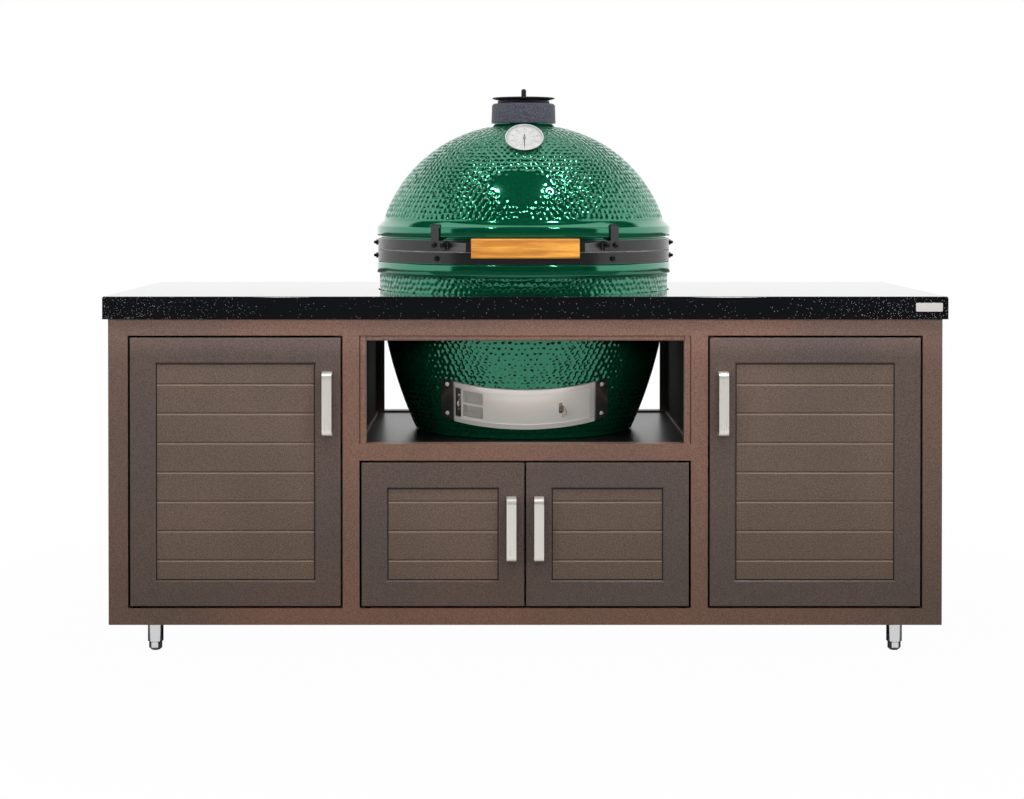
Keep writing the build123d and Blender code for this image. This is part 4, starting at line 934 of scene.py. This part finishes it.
# Woven wire in the two windows of the ember screen
wireCloth = {"pitch": 1.9, "wire": 0.32, "sides": 6, "weave": 0.17, "levelSteps": 60, "uprightSteps": 40}


def wireRun(place, out, beside):
    # wires as tubes: a circle carried along each row of places, spanned by the directions out and beside
    turn = turns(wireCloth["sides"])[:, None]
    ring = np.cos(turn) * out[:, :, None] + np.sin(turn) * beside[:, :, None]
    tubes = place[:, :, None] + wireCloth["wire"] * mm * ring
    faces = [gridFaces(index) for index in numbered(tubes.shape[:3])]
    return tubes.reshape(-1, 3), np.concatenate(faces)


def makeWireCloth():
    # on the screen's cylinder, wires at even angles and even heights, each waving in and out by a cosine
    parts = []
    radius, pitch, (first, last) = draft["screen"], wireCloth["pitch"], np.radians(draft["window"])
    for low, high in ((draft["windowBar"], draft["portHalf"]), (-draft["portHalf"], -draft["windowBar"])):
        uprights, levels = np.arange(first, last, pitch / radius)[1:], np.arange(low, high, pitch)[1:]
        for level in (False, True):
            if level:
                turn, height = np.meshgrid(np.linspace(first, last, wireCloth["levelSteps"]), levels)
                along, sign = (turn - first) * radius, 1
            else:
                height, turn = np.meshgrid(np.linspace(low, high, wireCloth["uprightSteps"]), uprights)
                along, sign = height - low, -1
            weave = sign * np.cos(np.pi * along / pitch + np.pi * np.arange(len(turn))[:, None])
            line = draftPoint(radius + wireCloth["weave"] * weave, turn, height)
            out = (draftPoint(radius + 1, turn, height) - draftPoint(radius, turn, height)) / mm
            up = (draftPoint(radius, turn, height + 1) - draftPoint(radius, turn, height)) / mm
            parts.append(wireRun(line, out, up if level else np.cross(up, out)))
    addPiece("emberWire", meshFrom("emberWire", *joined(parts)), "draft_steel", "ember_screen")


# Pan-head screws that hold the draft plate, each a dome with a slot across it
screw = {"radius": 5.2, "height": 3.0, "flatness": 4, "slot": 0.7, "slotDepth": 1.1, "slotFacing": (0.8, 0.6),
         "slotEnd": 0.98, "rings": 14, "count": 40}


def makeScrews():
    # height over a disc: the root of 1 less a power of the share of the radius, sunk along a slot
    share = np.linspace(0, 1, screw["rings"])[:, None]
    turn = turns(screw["count"])
    across, up = screw["radius"] * share * np.cos(turn), screw["radius"] * share * np.sin(turn)
    fromSlot = np.abs(across * screw["slotFacing"][0] + up * screw["slotFacing"][1])
    dome = screw["height"] * np.sqrt(1 - share ** screw["flatness"]) + 0 * turn
    dome = dome - screw["slotDepth"] * (fromSlot < screw["slot"]) * (share < screw["slotEnd"])
    faces = gridFaces(numbered(dome.shape))[:, ::-1]
    parts = []
    for middle in np.radians([-draft["screwAngle"], draft["screwAngle"]]):
        for height in (-draft["screwHalf"], draft["screwHalf"]):
            spot = draftPoint(draft["plate"] + dome, middle + across / draft["plate"], height + up)
            parts.append((spot.reshape(-1, 3), faces))
    addPiece("draftScrews", meshFrom("draftScrews", *joined(parts)), "draft_steel", "cabinet")


# Bare metal plate at the right end of the counter's front
plate = {"centre": (922.0, 799.7), "size": (61.0, 20.0), "corner": 2.5, "thick": 1.2, "edge": 0.5,
         "frontY": -406.5, "count": 64, "crease": 30}


def makePlate():
    # rounded rectangle drawn in by the edge towards its face, closed by a fan
    (x, z), count, corner, thick = plate["centre"], plate["count"], plate["corner"], plate["thick"]
    turn = turns(count) + np.pi / count
    middles = np.sign(unit(turn)) * (np.array(plate["size"]) / 2 - corner)
    layers = [(corner, 0.0), (corner, thick - plate["edge"]), (corner - plate["edge"], thick)]
    rings = []
    for radius, out in layers:
        across, up = (middles + unit(turn) * radius).T
        rings.append(np.column_stack([x + across, np.full(count, plate["frontY"] - out), z + up]))
    index = numbered((len(layers), count))
    fan = np.stack([index[-1], np.roll(index[-1], -1), np.full(count, index.size)], -1)
    points = np.concatenate([*rings, [(x, plate["frontY"] - thick, z)]])
    mesh = meshFrom("counterPlate", points * mm, gridFaces(index), fan)
    addPiece("counterPlate", mesh, "draft_steel", "cabinet", plate["crease"])


# Dark strip round each door panel, a painted shadow of the gap where the panel meets the leaf
seam = {"member": 59.0, "wide": 2.4, "faceBehind": 5.0, "proud": 0.7}


def makeGapShades():
    # rectangular section carried round the four corners of a panel's edge
    wide, proud = seam["wide"], seam["proud"]
    for door in ("left_door", "right_door", "left_centre_door", "right_centre_door"):
        (left, front, low), (right, _, high) = np.array(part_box(door + "_frame")) / mm
        face = front + seam["faceBehind"]
        rings = []
        for step, y in ((0, face), (0, face - proud), (wide, face - proud), (wide, face)):
            inset = seam["member"] + step
            x0, x1, z0, z1 = left + inset, right - inset, low + inset, high - inset
            rings.append([(x0, y, z0), (x1, y, z0), (x1, y, z1), (x0, y, z1)])
        faces = gridFaces(numbered((len(rings), 4)), True)[:, ::-1]
        mesh = meshFrom(door + "GapShade", np.array(rings).reshape(-1, 3) * mm, faces)
        # near-black strip standing in for the shadow in the gap
        addPiece(door + "GapShade", mesh, "needle_black", door)


# Dial face: two ring scales with plain numbers, angles in degrees
dial = {
    "centre": (0.0, -205.1, 1193.7), "tilt": np.radians(46.0), "level": -4.36, "print": 0.03,
    "zero": 270, "sweep": 292.5, "steps": 9, "ticksPerStep": 5, "line": 0.4,
    "ticks": (36.8, 40.4), "longTicks": (35.2, 40.4), "rings": (41.2, 24.5), "ringCount": 96,
    "numbers": {"outer": {"radius": 31.0, "perStep": 100, "size": 4.6},
                "inner": {"radius": 19.5, "perStep": 50, "size": 3.45}},
}


def dialPoint(x, y, level):
    # point in metres from places across, up and out of the dial's leaning plane
    c, s = np.cos(dial["tilt"]), np.sin(dial["tilt"])
    right, up, out = np.array([1, 0, 0]), np.array([0, s, c]), np.array([0, -c, s])
    spot = np.multiply.outer(x, right) + np.multiply.outer(y, up) + np.multiply.outer(level, out)
    return (np.array(dial["centre"]) + spot) * mm


def numberMesh(text, size):
    curve = bpy.data.curves.new("number", "FONT")
    curve.body, curve.size, curve.align_x, curve.align_y = text, size, "CENTER", "CENTER"
    holder = newObject("number", curve)
    mesh = evaluated(holder)
    bpy.data.objects.remove(holder)
    mesh.calc_loop_triangles()
    points, corners = np.zeros(len(mesh.vertices) * 3), np.zeros(len(mesh.loop_triangles) * 3, int)
    mesh.vertices.foreach_get("co", points)
    mesh.loop_triangles.foreach_get("vertices", corners)
    return points.reshape(-1, 3)[:, :2], corners.reshape(-1, 3)


def makeDial():
    # strokes, rings and numbers drawn flat and then laid on the dial's plane
    step, parts = dial["sweep"] / (dial["steps"] - 1), []
    ticks = np.radians(dial["zero"] - np.arange(0, dial["sweep"] + 1, step / dial["ticksPerStep"]))
    for number, turn in enumerate(ticks):
        inner, outer = dial["longTicks" if number % dial["ticksPerStep"] == 0 else "ticks"]
        along = unit(turn)
        beside = np.array([-along[1], along[0]]) * dial["line"]
        near, far = along * inner, along * outer
        stroke = np.array([near - beside, far - beside, far + beside, near + beside])
        parts.append((stroke, np.array([[0, 1, 2], [0, 2, 3]])))
    around = turns(dial["ringCount"])
    for radius in dial["rings"]:
        pair = [arcPoints((0, 0), each, around) for each in (radius, radius + dial["line"])]
        quads = gridFaces(numbered((2, len(around))))[:, ::-1]
        parts.append((np.concatenate(pair), np.concatenate([quads[:, [0, 1, 2]], quads[:, [0, 2, 3]]])))
    for number in range(dial["steps"]):
        turn = np.radians(dial["zero"] - number * step)
        for scale in dial["numbers"].values():
            points, corners = numberMesh(str(number * scale["perStep"]), scale["size"])
            parts.append((points + scale["radius"] * unit(turn), corners))
    flat, faces = joined(parts)
    points = dialPoint(flat[:, 0], flat[:, 1], np.full(len(flat), dial["level"] + dial["print"]))
    addPiece("dialScale", meshFrom("dialScale", points, faces), "dial_grey", "lid")


setCamera()
setFloor()
setSky()
setLamps()
finishes = makeFinishes()
print("finishes made,", len(finishes))
dressNodes()
makeLid()
makeBase()
makeFelt()
makeSprings()
makeWireCloth()
makeScrews()
makePlate()
makeGapShades()
makeDial()
print("pieces made")

bpy.context.scene.view_settings.view_transform = "Standard"
bpy.context.view_layer.update()
